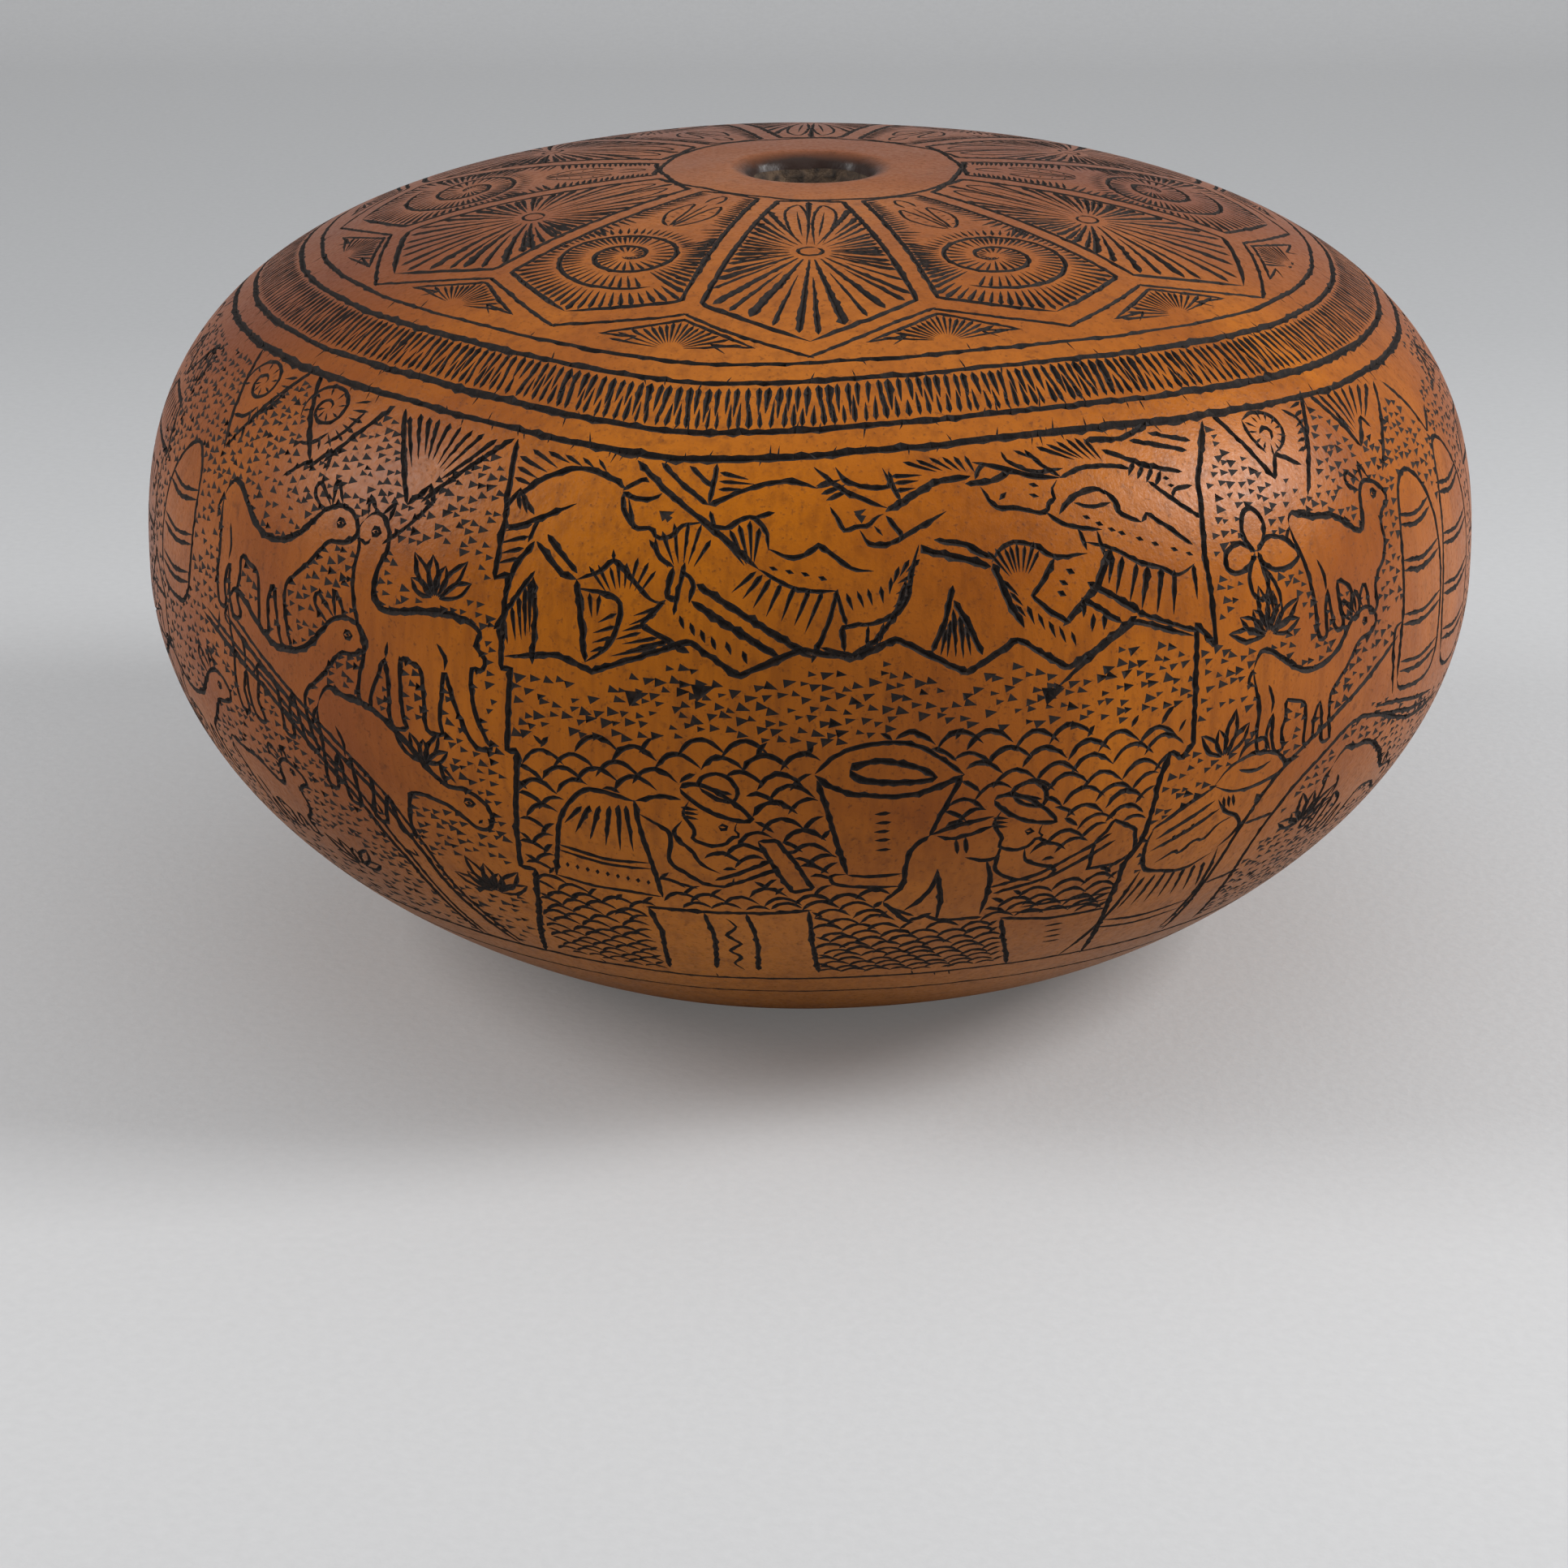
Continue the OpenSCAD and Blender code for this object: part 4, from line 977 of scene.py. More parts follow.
def left_panel():
    """Pennants, six llamas, aloes, a bound stack, a house and a walled road."""
    straight([(-64, 32), (-60.8, 27), (-57.2, 22.3)], 0.75)
    straight([(-49.4, 30.8), (-52, 27), (-55.2, 22.6)], 0.7)
    straight([(-57.2, 22.4), (-60.4, 20)], 0.5)
    straight([(-57, 21.6), (-54.6, 24.2), (-54.2, 21.8)], 0.6)
    straight([(-47.8, 30.8), (-44.6, 25), (-42.1, 20.5)], 0.7)
    straight([(-32.4, 29.6), (-36, 26), (-40.6, 21)], 0.65)
    straight([(-42.1, 20.5), (-40.1, 22.9), (-38.9, 21.2)], 0.6)
    straight([(-38.8, 21.8), (-41, 18.8), (-44, 16.2)], 0.45)
    straight([(-79.4, 31.6), (-76.4, 26), (-73.2, 19.8)], 0.65)
    straight([(-65.8, 31.8), (-69.2, 26.6), (-71.6, 22.4)], 0.6)
    straight([(-73, 20), (-71.4, 23), (-70.4, 21.4)], 0.5)
    for a, b in (((-46.6, 30), (-43.2, 24.4)), ((-45.4, 30.6), (-42.8, 25.4)), ((-44, 30.4), (-42.2, 26)),
                 ((-42.6, 30.4), (-41.6, 25.6)), ((-41, 30.2), (-41, 25.6)), ((-39.4, 30), (-40.2, 25.2)),
                 ((-37.8, 29.8), (-39.8, 24.9)), ((-36.2, 29.6), (-39.2, 24.6)), ((-34.4, 29.2), (-38.6, 24)),
                 ((-36.2, 26.8), (-39.2, 23.7)), ((-46, 27.4), (-43.4, 23.6)), ((-44.4, 24.4), (-43, 22.4))):
        cut([a, b], rng.uniform(0.55, 0.8), (0.06, 0.9))
    for sx, sy in ((-58.9, 28.4), (-73.2, 28.2)):
        t = np.linspace(0, 1.6 * TAU, 40)
        coil = np.stack([sx + (0.5 + 0.36 * t) * np.cos(t), sy + (0.4 + 0.3 * t) * np.sin(t)], 1)
        cut(coil, 0.45, (0.1, 0.2))
        for i in range(14, 40, 3):
            out = coil[i]
            d = out - [sx, sy]
            cut([out, out - d / np.hypot(*d) * 1.3], 0.4, (0.1, 0.8))
        for a in np.radians(np.arange(-70, 40, 16)):
            c, s = math.cos(a), math.sin(a)
            cut([(sx + 6.4 * c, sy + 5 * s), (sx + 4 * c, sy + 3.4 * s)], 0.5, (0.1, 0.9))
        stroke([(sx + 2.6, sy - 4), (sx + 4.6, sy - 2), (sx + 6, sy + 1)], 0.45)
        stroke([(sx - 1.6, sy - 4.6), (sx + 0.8, sy - 4.2), (sx + 2.4, sy - 2.6)], 0.45)
    herd = [llama(-58.2, 12.2), llama(-39.6, 12, 1.02, 1, "turned"), llama(-55.2, 1.9, 0.97),
            llama(-40.9, -3.2, 1.02, 1, "grazing"),
            llama(-77, -8.5, 0.9), llama(-64.6, -15.2, 0.84, 1, "alert")]
    green = [aloe(-36.8, 11.9, 0.82, 30, 150, 6), aloe(-38.2, -4.6, 0.66, 35, 140, 5),
             aloe(-34.2, -21, 0.95, 30, 150, 7),
             aloe(-55.4, -24, 0.9, 25, 155, 6)]
    walls = [[(-72, 3.2), (-66, 1), (-59, -2), (-53, -6.4), (-48.4, -11), (-46, -16), (-44.5, -20.4),
              (-42.4, -34)],
             [(-67, 4.4), (-60, 0.6), (-53.2, -3.2), (-48, -7), (-44.6, -10.4), (-42, -16), (-40.7, -22),
              (-37, -34)]]
    for wall in walls:
        stroke(wall, 0.7, taper=(0.05, 0.05))
        stroke([(x + 0.9, y + 0.6) for x, y in wall], 0.4, taper=(0.05, 0.05))
    road = walls[0] + walls[1][::-1]
    for t in np.linspace(0.12, 0.9, 7):
        i = int(t * 6)
        a, b = np.array(walls[0][i]), np.array(walls[1][i])
        stroke([a + [1.6, -0.6], (a + b) / 2 + [1, -1.4], b - [1.2, 0.2]], 0.35)
    stack = banded_stack([(-85, 4), (-85.4, 12), (-83, 17), (-79.4, 19), (-76.2, 16), (-75.4, 9),
                          (-76.4, 3.6), (-80, 2.4)],
                         [(-85, -75.8, 14.6), (-85.2, -75.6, 10), (-85, -76, 6)])
    house = [(-92, -4), (-92, 1), (-88.6, 4.6), (-84.6, 1), (-84.4, -4.4)]
    cut(looped(house), 0.5, (0.03, 0.03))
    straight([(-92.4, 1), (-84, 1)], 0.4)
    straight([(-89.4, -4), (-89.4, -1.2), (-87.2, -1.2), (-87.2, -4.2)], 0.45)
    region = [(-94, 28), (-79.6, 30.4), (-74, 21), (-72, 22.6), (-66, 30.4), (-64, 30.6), (-58, 21.8),
              (-54.6, 24.4), (-49.4, 29.6), (-47.8, 29.6),
              (-43, 21), (-40, 23), (-33, 28.6), (-31, 21), (-31.4, 15), (-30.2, 9), (-29.6, 0),
              (-29.2, -5), (-30.6, -15), (-30.2, -22), (-34.6, -33),
              (-60, -34), (-94, -30)]
    blocked = herd + green + [fat(road, 0.4), fat(stack, 0.3), fat(house, 0.4)]
    low = [(-130, -60), (0, -60), (0, -22), (-130, -22)]
    high = [(-130, -22), (0, -22), (0, 60), (-130, 60)]
    stipple(region, SIDE_GAP, blocked + [low], SIDE_DOT)
    stipple(region, 1.9, blocked + [high], SIDE_DOT * 1.2)


def right_panel():
    """Pennants, a flower, three llamas, bound stacks, a road and a woman in a striped shawl."""
    straight([(46.8, 30.4), (49, 26), (51.1, 21.7)], 0.7)
    straight([(51.1, 21.7), (52.5, 24.3), (55.6, 22.4)], 0.55)
    straight([(61.9, 30.2), (58.4, 25), (54.8, 19.2)], 0.6)
    straight([(62.8, 29.4), (64.6, 26), (66.4, 22)], 0.65)
    straight([(66.4, 22), (69.2, 25), (70, 23.4)], 0.5)
    straight([(76.8, 27.6), (73, 23.6), (68.4, 18.8)], 0.55)
    straight([(78.6, 27), (81, 23.4), (82.6, 19.6), (86, 22)], 0.5)
    stroke([(50.4, 28.8), (52.4, 29.4), (54.6, 28.6), (55.4, 26.6), (54, 24.9), (52.6, 24.4)], 0.5)
    stroke([(50.4, 28.8), (50.4, 26.8), (51.4, 24.6)], 0.5)
    stroke([(51.8, 26.8), (52.8, 27.4), (53.6, 26.6), (53, 25.8)], 0.5)
    fan(53, 26.8, -160, 170, 1.4, 2.7, 13, 0.35)
    stroke([(57, 28.8), (58.6, 27), (58, 24.6), (56.6, 23.6)], 0.45)
    pleats([(60.6, 29), (60, 28), (59.4, 27), (58.8, 26), (58, 25), (57.4, 24)],
           [(58.4, 28.6), (58, 27.4), (57.6, 26.4), (57.2, 25.6), (56.6, 24.8), (56, 23.8)], 0.5)
    for a, b in (((64.4, 29), (66.4, 23.6)), ((66, 29), (66.9, 23.8)), ((67.6, 28.9), (67.4, 24.4)),
                 ((69.4, 28.8), (68, 25)), ((71.2, 28.6), (68.8, 25.2)),
                 ((73, 28.2), (69.6, 25)), ((74.8, 27.8), (70, 24.6)), ((65.2, 26.6), (66, 23.4))):
        cut([a, b], rng.uniform(0.55, 0.8), (0.06, 0.9))
    for petal in ([(46, 15.3), (44.8, 17), (45.2, 18.9), (46.4, 19.6), (47.6, 18.4), (47.4, 16.6)],
                  [(46.2, 15.2), (48, 16.4), (50.2, 15.6), (51.6, 13.9), (49.6, 13), (47.4, 13.4)],
              [(45.8, 15.2), (44.2, 16.4), (42.4, 15.8), (42.2, 14.2), (43.6, 13.6), (45, 14.2)],
              [(46, 14.8), (44.8, 13.6), (44.9, 11.4), (46.4, 10.6), (47, 12.6)]):
        shape(petal, 0.55)
    stroke([(46.2, 14.6), (47, 11.4), (47.4, 8.6)], 0.5)
    stroke([(46.8, 13.6), (48.2, 11), (48.4, 9)], 0.42)
    herd = [llama(58.2, 12, 0.97, 1, "alert"), llama(54, 1.2, 0.82), llama(68, -11.6, 0.9, 1, "grazing")]
    green = [aloe(46.6, 7, 0.8, 12, 168, 8), aloe(41.6, -4.4, 0.8, 50, 135, 4),
             aloe(57.6, -17, 0.9, 30, 160, 7)]
    banded_stack([(67.9, -2.6), (68.4, 5), (68.8, 12), (70.4, 16.6), (73.4, 17.8), (76.6, 14.4), (78, 8),
                  (77.8, 0), (76.4, -4), (71, -4.2)],
                 [(69, 76.6, 14), (68.7, 77.7, 9.4), (68.4, 78, 4), (68.2, 77.6, -0.8)])
    banded_stack([(79.6, -3), (79, 6), (80.4, 14), (83, 18.6), (86.6, 17), (89.4, 11), (90, 3),
                  (88.4, -4.4), (84, -5.6)],
                 [(79.8, 88.8, 14.6), (79.2, 89.8, 9.4), (79.2, 90, 4.2), (79.4, 89.4, -0.6)])
    stroke([(68.2, 3.4), (66.6, 2.6), (66.8, -1.6), (67.4, -4)], 0.55)
    stroke([(64, -4.4), (68, -5), (74, -6.4), (80, -7.4)], 0.5)
    stroke([(63.6, -5.2), (68, -6.2), (74, -7.6), (80, -8.4)], 0.5)
    walls = [[(67.4, 2.2), (62, -0.6), (56, -3.6), (51, -6.6), (48.4, -9.6), (46.6, -14), (46, -22),
              (47, -34)],
             [(84, -9), (74, -8.6), (62, -4.8), (56, -7.6), (52, -11.4), (50, -17), (50.4, -24), (52.4, -34)]]
    for wall in walls:
        stroke(wall, 0.6, taper=(0.05, 0.05))
    straight([(47, -13.4), (51, -13.2)], 0.45)
    straight([(46.2, -22.6), (50.4, -22)], 0.45)
    stroke([(41, -7.2), (42.6, -5.4), (45.6, -4.6), (48.8, -5.4), (50.2, -7.4), (47, -8.4), (43.6, -8.4),
            (41, -7.2)], 0.5)
    stroke([(43.4, -5), (44.2, -3.6), (46.4, -3.2), (47.6, -4.8)], 0.45)
    stroke([(43.8, -6), (46, -6.6), (48, -6)], 0.38)
    stroke([(40.8, -7.4), (38, -8.8), (34.6, -11)], 0.65)
    stroke([(34.8, -10.8), (34.4, -13.4), (35.4, -16.6), (38, -17.6), (41, -18.2), (44, -16.6)], 0.6)
    stroke([(35.4, -12.4), (38.4, -10.8), (41.6, -9)], 0.55)
    stroke([(35.2, -14), (38.6, -12.4), (42.6, -10.2)], 0.5)
    stroke([(36.4, -16), (38.4, -14.8), (39.2, -15.2), (40.6, -13.8), (41.8, -14), (43, -12.4),
            (44.6, -11.8)], 0.42)
    stroke([(42, -9), (43.4, -10.8), (45.4, -12), (46.2, -13.8), (44.4, -16)], 0.5)
    dashes([(37.6, -12.6), (38.6, -12.1), (39.6, -11.6)], 0.4, 0.6, 60)
    for k in range(3):
        straight([(42.6 + 0.6 * k, -8.8), (43.2 + 0.6 * k, -10.4)], 0.45, (0.1, 0.5))
    stroke([(35, -16.6), (33.8, -24), (31.4, -34)], 0.55)
    stroke([(44.6, -16), (45.4, -22), (45.6, -33)], 0.5)
    pleats(between((36, -18), (43.6, -18), 7), between((34.6, -23.4), (44.8, -22.6), 7), 0.42)
    stroke([(33.6, -25.4), (39, -26.4), (45.4, -25.6)], 0.42)
    stroke([(33.2, -27), (39, -28), (45.4, -27.4)], 0.38)
    shawl = [(34, -11), (41, -7.4), (43, -4), (47, -3.2), (50.6, -7), (47, -9), (46.6, -14), (45.6, -20),
             (46, -33.6), (31, -34), (35, -18)]
    road = [(67.4, 2.4), (56, -3.2), (48.6, -9), (46.4, -14), (45.6, -22), (47, -34), (52.6, -34),
            (50.6, -22), (52.2, -12), (58, -6.4), (64, -3.6), (84, -8), (84, -9.6)]
    region = [(45.4, 29), (48.6, 25), (51, 20.8), (52.6, 23.6), (54.8, 19), (61.8, 28.6), (66.2, 21),
              (69, 24), (70, 21), (76.8, 26.4), (82, 18.6), (88, 24),
              (94, 24), (94, -33), (36, -33), (34.4, -22), (33.6, -14), (34.6, -9), (35.4, -3),
              (37.6, -2.6), (38.8, 3), (38.6, 9), (41, 8), (40.7, 16.5), (42.2, 23)]
    flower = [(42, 13.4), (42, 16), (44.4, 16.6), (45, 20), (48, 19.6), (48.2, 16.4), (52, 14.8), (52, 13),
              (48.6, 12.6), (48.8, 8.6), (44.4, 10.6), (44.6, 13.4)]
    stacks = [(66.6, -4.6), (66.4, 3.4), (68.2, 6), (68.4, 13), (70, 17.4), (74, 18.4), (79, 12),
              (80.4, 15), (83, 19.4), (87.4, 17.8), (91, 10), (90.6, -2), (86, -8), (68, -5.6)]
    stipple(region, SIDE_GAP, herd + green + [stacks, road, shawl, flower], SIDE_DOT)


def village():
    """Huts under a sun, a tree and a walking llama, between the herds."""
    sun = [(110 + 2.4 * math.cos(a), 25.4 + 2 * math.sin(a)) for a in np.radians(np.arange(0, 360, 45))]
    shape(sun, 0.5)
    fan(110, 25.4, -170, 170, 3.2, 5.6, 17, 0.5)
    straight([(94, 22), (99, 26.4), (103.6, 22.2), (106, 20.6)], 0.65)
    straight([(114.6, 21), (118.4, 25.6), (123, 21.4), (127.6, 26.6), (131, 22.6)], 0.65)
    pleats([(99, 26), (98, 25), (97, 24), (118.4, 25), (117.4, 24), (127.4, 26), (126.4, 25)],
           [(100, 22.8), (98.6, 22.6), (97.4, 22.4), (119.4, 21.8), (118, 21.6), (128.4, 22.6),
            (127, 22.2)], 0.5)
    blocked = [[(103, 19), (106, 32), (115, 32), (117, 19)]]
    for at in (placed(99.6, 9, 1.0), placed(121.8, 10.4, 1.1), placed(110.6, -13.8, 1.05)):
        cut(looped(at([(-6.4, 4), (-1.6, 8.6), (5.8, 8.2), (8, 3.6)])), 0.65, (0.03, 0.03))
        ridge, eaves = at([(-2.6, 8), (6.2, 7.6)]), at([(-5, 4.6), (7, 4.4)])
        pleats(between(*ridge, 9), between(*eaves, 9), 0.5)
        straight(at([(-5, 4), (-5, -3.6), (6.8, -3.8), (6.8, 3.8)]), 0.6)
        straight(at([(-1.4, -3.6), (-1.4, 1), (1.2, 1), (1.2, -3.6)]), 0.5)
        cut(looped(at([(3, -0.6), (3, 1.6), (5, 1.6), (5, -0.6)])), 0.42, (0.03, 0.03))
        blocked.append(at([(-6.8, 4), (-1.8, 9.2), (6.2, 8.8), (8.4, 3.6), (7.2, -4.2), (-5.4, -4.2)]))
    blocked.append(llama(111.4, 8.4, 0.82, -1, "grazing"))
    blocked.append(llama(127, -8.4, 0.92, -1, "walking"))
    blocked.append(llama(97.6, -9.4, 0.92, 1, "turned"))
    blocked += [aloe(109.8, 14.4, 0.7, 20, 160, 6), aloe(118.6, -3, 0.8, 20, 160, 7),
                aloe(99, -27, 0.9, 25, 155, 6), aloe(124, -25, 0.9, 25, 155, 6)]
    stroke([(90, -2.4), (98, -1.4), (106, -2.6), (114, -5.4), (122, -4.4), (132, -1.4)], 0.6)
    region = [(93, 28), (132, 28), (132, -33), (93, -33)]
    stipple(region, SIDE_GAP, blocked, SIDE_DOT)


def front_panel():
    straight(LEFT_POST, 0.75, (0.02, 0.05))
    straight(RIGHT_POST, 0.75, (0.02, 0.05))
    straight(HILLS, 0.75, (0.04, 0.04))
    harvesters()
    digging_pair()
    field()


def engrave():
    engrave_rings()
    engrave_hatch_band()
    engrave_star()
    for turned in (0.0, FULL_TURN / 2):
        OFFSET[0] = turned
        front_panel()
        right_panel()
        village()
        left_panel()
    OFFSET[0] = 0.0


CUT_KINDS = ["scene", "star", "hatch", *RINGS]
SKIN_ZONES = ["rind_crown", "rind_band", "rind_wall", "rind_foot"]


def runs():
    """The cuts as they lie on the chart, with those over its edge taken up on the other side."""
    for path, left, right, side, kind in cuts:
        if path[-1, 0] - path[0, 0] > FULL_TURN - 0.01:
            yield path, left, right, side, kind, True
            continue
        for shift in (0, FULL_TURN, -FULL_TURN):
            x = path[:, 0] + shift
            ok = np.flatnonzero((x > SEAM + 0.05) & (x < SEAM + FULL_TURN - 0.05))
            if len(ok) < 2:
                continue
            s = slice(ok[0], ok[-1] + 1)
            yield path[s] + [shift, 0], left[s], right[s], side[s], kind, False


def chart_sheet():
    """One flat sheet of triangles on the chart, with every cut's outline in it."""
    columns = np.linspace(SEAM, SEAM + FULL_TURN, COLUMNS + 1)
    rows = [FOOT_Y]
    while rows[-1] < TOP_Y:
        rows.append(rows[-1] + 1.9 * float(stretch(rows[-1])))
    rows = FOOT_Y + (np.array(rows) - FOOT_Y) * (TOP_Y - FOOT_Y) / (rows[-1] - FOOT_Y)
    points, edges, count = [], [], 0

    def chain(line, closed=False):
        nonlocal count
        points.append(line)
        n = len(line)
        edges.extend((count + i, count + i + 1) for i in range(n - 1))
        if closed:
            edges.append((count + n - 1, count))
        count += n

    for y in (FOOT_Y, TOP_Y):
        chain(np.stack([columns, np.full(COLUMNS + 1, y)], 1))
    for x in (SEAM, SEAM + FULL_TURN):
        chain(np.stack([np.full(len(rows), x), rows], 1))
    for i, y in enumerate(rows[1:-1]):
        gap = 2.0 * float(stretch(y))
        n = int(FULL_TURN / gap)
        x = SEAM + (np.arange(n) + 0.35 + 0.3 * (i % 2)) * FULL_TURN / n
        points.append(np.stack([x, np.full(n, y)], 1))
        count += n
    quads, spines, reach, kinds = [], [], [], []
    for path, left, right, side, kind, ring in runs():
        a, b = path + side * left[:, None], path - side * right[:, None]
        for line in (a, b, path):
            low, high = (SEAM, SEAM + FULL_TURN) if ring else (SEAM + 0.04, SEAM + FULL_TURN - 0.04)
            line[:, 0] = np.clip(line[:, 0], low, high)
            line[:, 1] = np.clip(line[:, 1], FOOT_Y + 0.5, TOP_Y - 0.5)
        if ring:
            chain(a)
            chain(b)
        else:
            chain(np.concatenate([a, b[::-1]]), closed=True)
        points.append(path[1:-1])
        count += len(path) - 2
        quads.append(np.stack([a[:-1], b[:-1], b[1:], a[1:]], 1))
        spines.append(np.stack([path[:-1], path[1:]], 1))
        reach.append(np.stack([left[:-1], right[:-1], left[1:], right[1:]], 1))
        kinds.append(np.full(len(path) - 1, CUT_KINDS.index(kind)))
    flat = [Vector(p) for p in np.concatenate(points)]
    sheet = delaunay_2d_cdt(flat, edges, [], 0, 1e-5, False)
    verts = np.array([(v.x, v.y) for v in sheet[0]])
    faces = np.array([f for f in sheet[2] if len(f) == 3])
    return verts, faces, *(np.concatenate(part) for part in (quads, spines, reach, kinds))


def near_pairs(places, low, high):
    """Pairs of a place and a box that may hold it, by way of a coarse grid."""
    cell = 3.0
    wide = int(FULL_TURN / cell) + 4
    # Adding this keeps every grid number above zero.
    lift = [cell - SEAM, 60 + cell]
    c0 = np.floor((low + lift) / cell).astype(int)
    c1 = np.floor((high + lift) / cell).astype(int)
    keys, boxes = [], []
    span = c1 - c0
    for i in range(span[:, 0].max() + 1):
        for j in range(span[:, 1].max() + 1):
            ok = (span[:, 0] >= i) & (span[:, 1] >= j)
            keys.append((c0[ok, 0] + i) + wide * (c0[ok, 1] + j))
            boxes.append(np.flatnonzero(ok))
    keys, boxes = np.concatenate(keys), np.concatenate(boxes)
    order = np.argsort(keys, kind="stable")
    keys, boxes = keys[order], boxes[order]
    c = np.floor((places + lift) / cell).astype(int)
    mine = c[:, 0] + wide * c[:, 1]
    start, end = np.searchsorted(keys, mine, "left"), np.searchsorted(keys, mine, "right")
    n = end - start
    who = np.repeat(np.arange(len(places)), n)
    first = np.repeat(start - np.concatenate([[0], np.cumsum(n)[:-1]]), n)
    return who, boxes[first + np.arange(len(who))]


def sort_sheet(verts, faces, quads, spines, reach, kinds):
    """Tells grooves from skin and gives every corner its depth in millimetres."""
    low, high = quads.min(1) - 0.05, quads.max(1) + 0.05
    middle = verts[faces].mean(1)
    who, box = near_pairs(middle, low, high)
    p, q = middle[who], quads[box]
    crossed = np.zeros(len(who), int)
    for i in range(4):
        a, b = q[:, i], q[:, (i + 1) % 4]
        straddle = (a[:, 1] > p[:, 1]) != (b[:, 1] > p[:, 1])
        rise = np.where(b[:, 1] == a[:, 1], 1.0, b[:, 1] - a[:, 1])
        x = a[:, 0] + (p[:, 1] - a[:, 1]) * (b[:, 0] - a[:, 0]) / rise
        crossed += straddle & (p[:, 0] < x)
    hit = crossed % 2 == 1
    kind = np.full(len(faces), -1)
    np.maximum.at(kind, who[hit], kinds[box[hit]])
    who, box = near_pairs(verts, low, high)
    a, b = spines[box, 0], spines[box, 1]
    d = b - a
    t = np.clip(((verts[who] - a) * d).sum(1) / np.maximum((d * d).sum(1), 1e-9), 0, 1)
    off = verts[who] - (a + d * t[:, None])
    on_left = d[:, 0] * off[:, 1] - d[:, 1] * off[:, 0] > 0
    r = reach[box]
    wide = np.where(on_left, r[:, 0] * (1 - t) + r[:, 2] * t, r[:, 1] * (1 - t) + r[:, 3] * t)
    deep = np.zeros(len(verts))
    np.maximum.at(deep, who, wide - np.hypot(off[:, 0], off[:, 1]))
    deep = np.minimum(deep * 0.9 / stretch(verts[:, 1]), DEEPEST_CUT)
    deep[np.unique(faces[kind < 0])] = 0
    return kind, deep, middle


def mesh_piece(name, spots, faces, normals=None, uv=None, smooth=True):
    """A named object; normals go by corner point, uv by face corner."""
    mesh = bpy.data.meshes.new(name)
    mesh.from_pydata(spots.tolist(), [], [list(map(int, f)) for f in faces])
    mesh.update()
    mesh.polygons.foreach_set("use_smooth", np.full(len(mesh.polygons), smooth))
    if uv is not None:
        mesh.uv_layers.new(name="OFBake").data.foreach_set("uv", uv.ravel())
    if normals is not None:
        mesh.normals_split_custom_set_from_vertices(normals.tolist())
    piece = bpy.data.objects.new(name, mesh)
    bpy.context.scene.collection.objects.link(piece)
    return piece


def turned_rows(profile, turn):
    """Rows of points turned about the axis; profile is radius and height in millimetres."""
    r, z = np.array(profile).T
    upright = np.outer(z, np.ones(len(turn)))
    return np.stack([np.outer(r, np.sin(turn)), np.outer(r, -np.cos(turn)), upright], -1) * MM


def grid_faces(rows, n):
    """Four-sided faces between rows of n points, joined round."""
    i, j = np.meshgrid(np.arange(rows - 1), np.arange(n), indexing="ij")
    k = (j + 1) % n
    return np.stack([i * n + j, i * n + k, (i + 1) * n + k, (i + 1) * n + j], -1).reshape(-1, 4)


def build_skin():
    """Parts the carved sheet into zones of skin and kinds of groove, welded at the back seam."""
    verts, faces, quads, spines, reach, kinds = chart_sheet()
    kind, deep, middle = sort_sheet(verts, faces, quads, spines, reach, kinds)
    merged = np.arange(len(verts))
    right = np.flatnonzero(verts[:, 0] > SEAM + FULL_TURN - 1e-3)
    left = np.flatnonzero(verts[:, 0] < SEAM + 1e-3)
    left = left[np.argsort(verts[left, 1])]
    for v in right:
        at = np.searchsorted(verts[left, 1], verts[v, 1])
        near = [left[k] for k in (at - 1, at) if 0 <= k < len(left)]
        best = min(near, key=lambda k: abs(verts[k, 1] - verts[v, 1]))
        if abs(verts[best, 1] - verts[v, 1]) < 0.02:
            merged[v] = best
    spots, normals = skin(verts[:, 0], verts[:, 1], deep), skin_normals(verts[:, 0], verts[:, 1])
    drift = wobble(middle[:, 0])
    borders = (RINGS["ring_star"][0] + drift, RINGS["ring_panel_top"][0] + drift, RINGS["ring_foot"][0])
    zone = sum((middle[:, 1] <= border).astype(int) for border in borders)
    made = {}

    def part(name, chosen, smooth):
        f = faces[chosen]
        if not len(f):
            return
        low_y, high_y = verts[f, 1].min(), verts[f, 1].max()
        used, index = np.unique(merged[f], return_inverse=True)
        index = index.reshape(f.shape)
        flat = np.stack([(verts[f, 0] - SEAM) / FULL_TURN, (verts[f, 1] - low_y) / (high_y - low_y)], -1)
        made[name] = (spots[used], index, normals[used], flat.reshape(-1, 2), smooth)

    for i, name in enumerate(SKIN_ZONES):
        part(name, (kind < 0) & (zone == i), True)
    for i, name in enumerate(CUT_KINDS):
        part("soot_" + name, kind == i, False)
    return made



def pit_ripple(angle):
    """How unevenly the stem left its hole, as a share of the radius."""
    return 0.035 * np.sin(3 * angle + 1) + 0.025 * np.sin(5 * angle + 0.4) + 0.012 * np.sin(11 * angle)


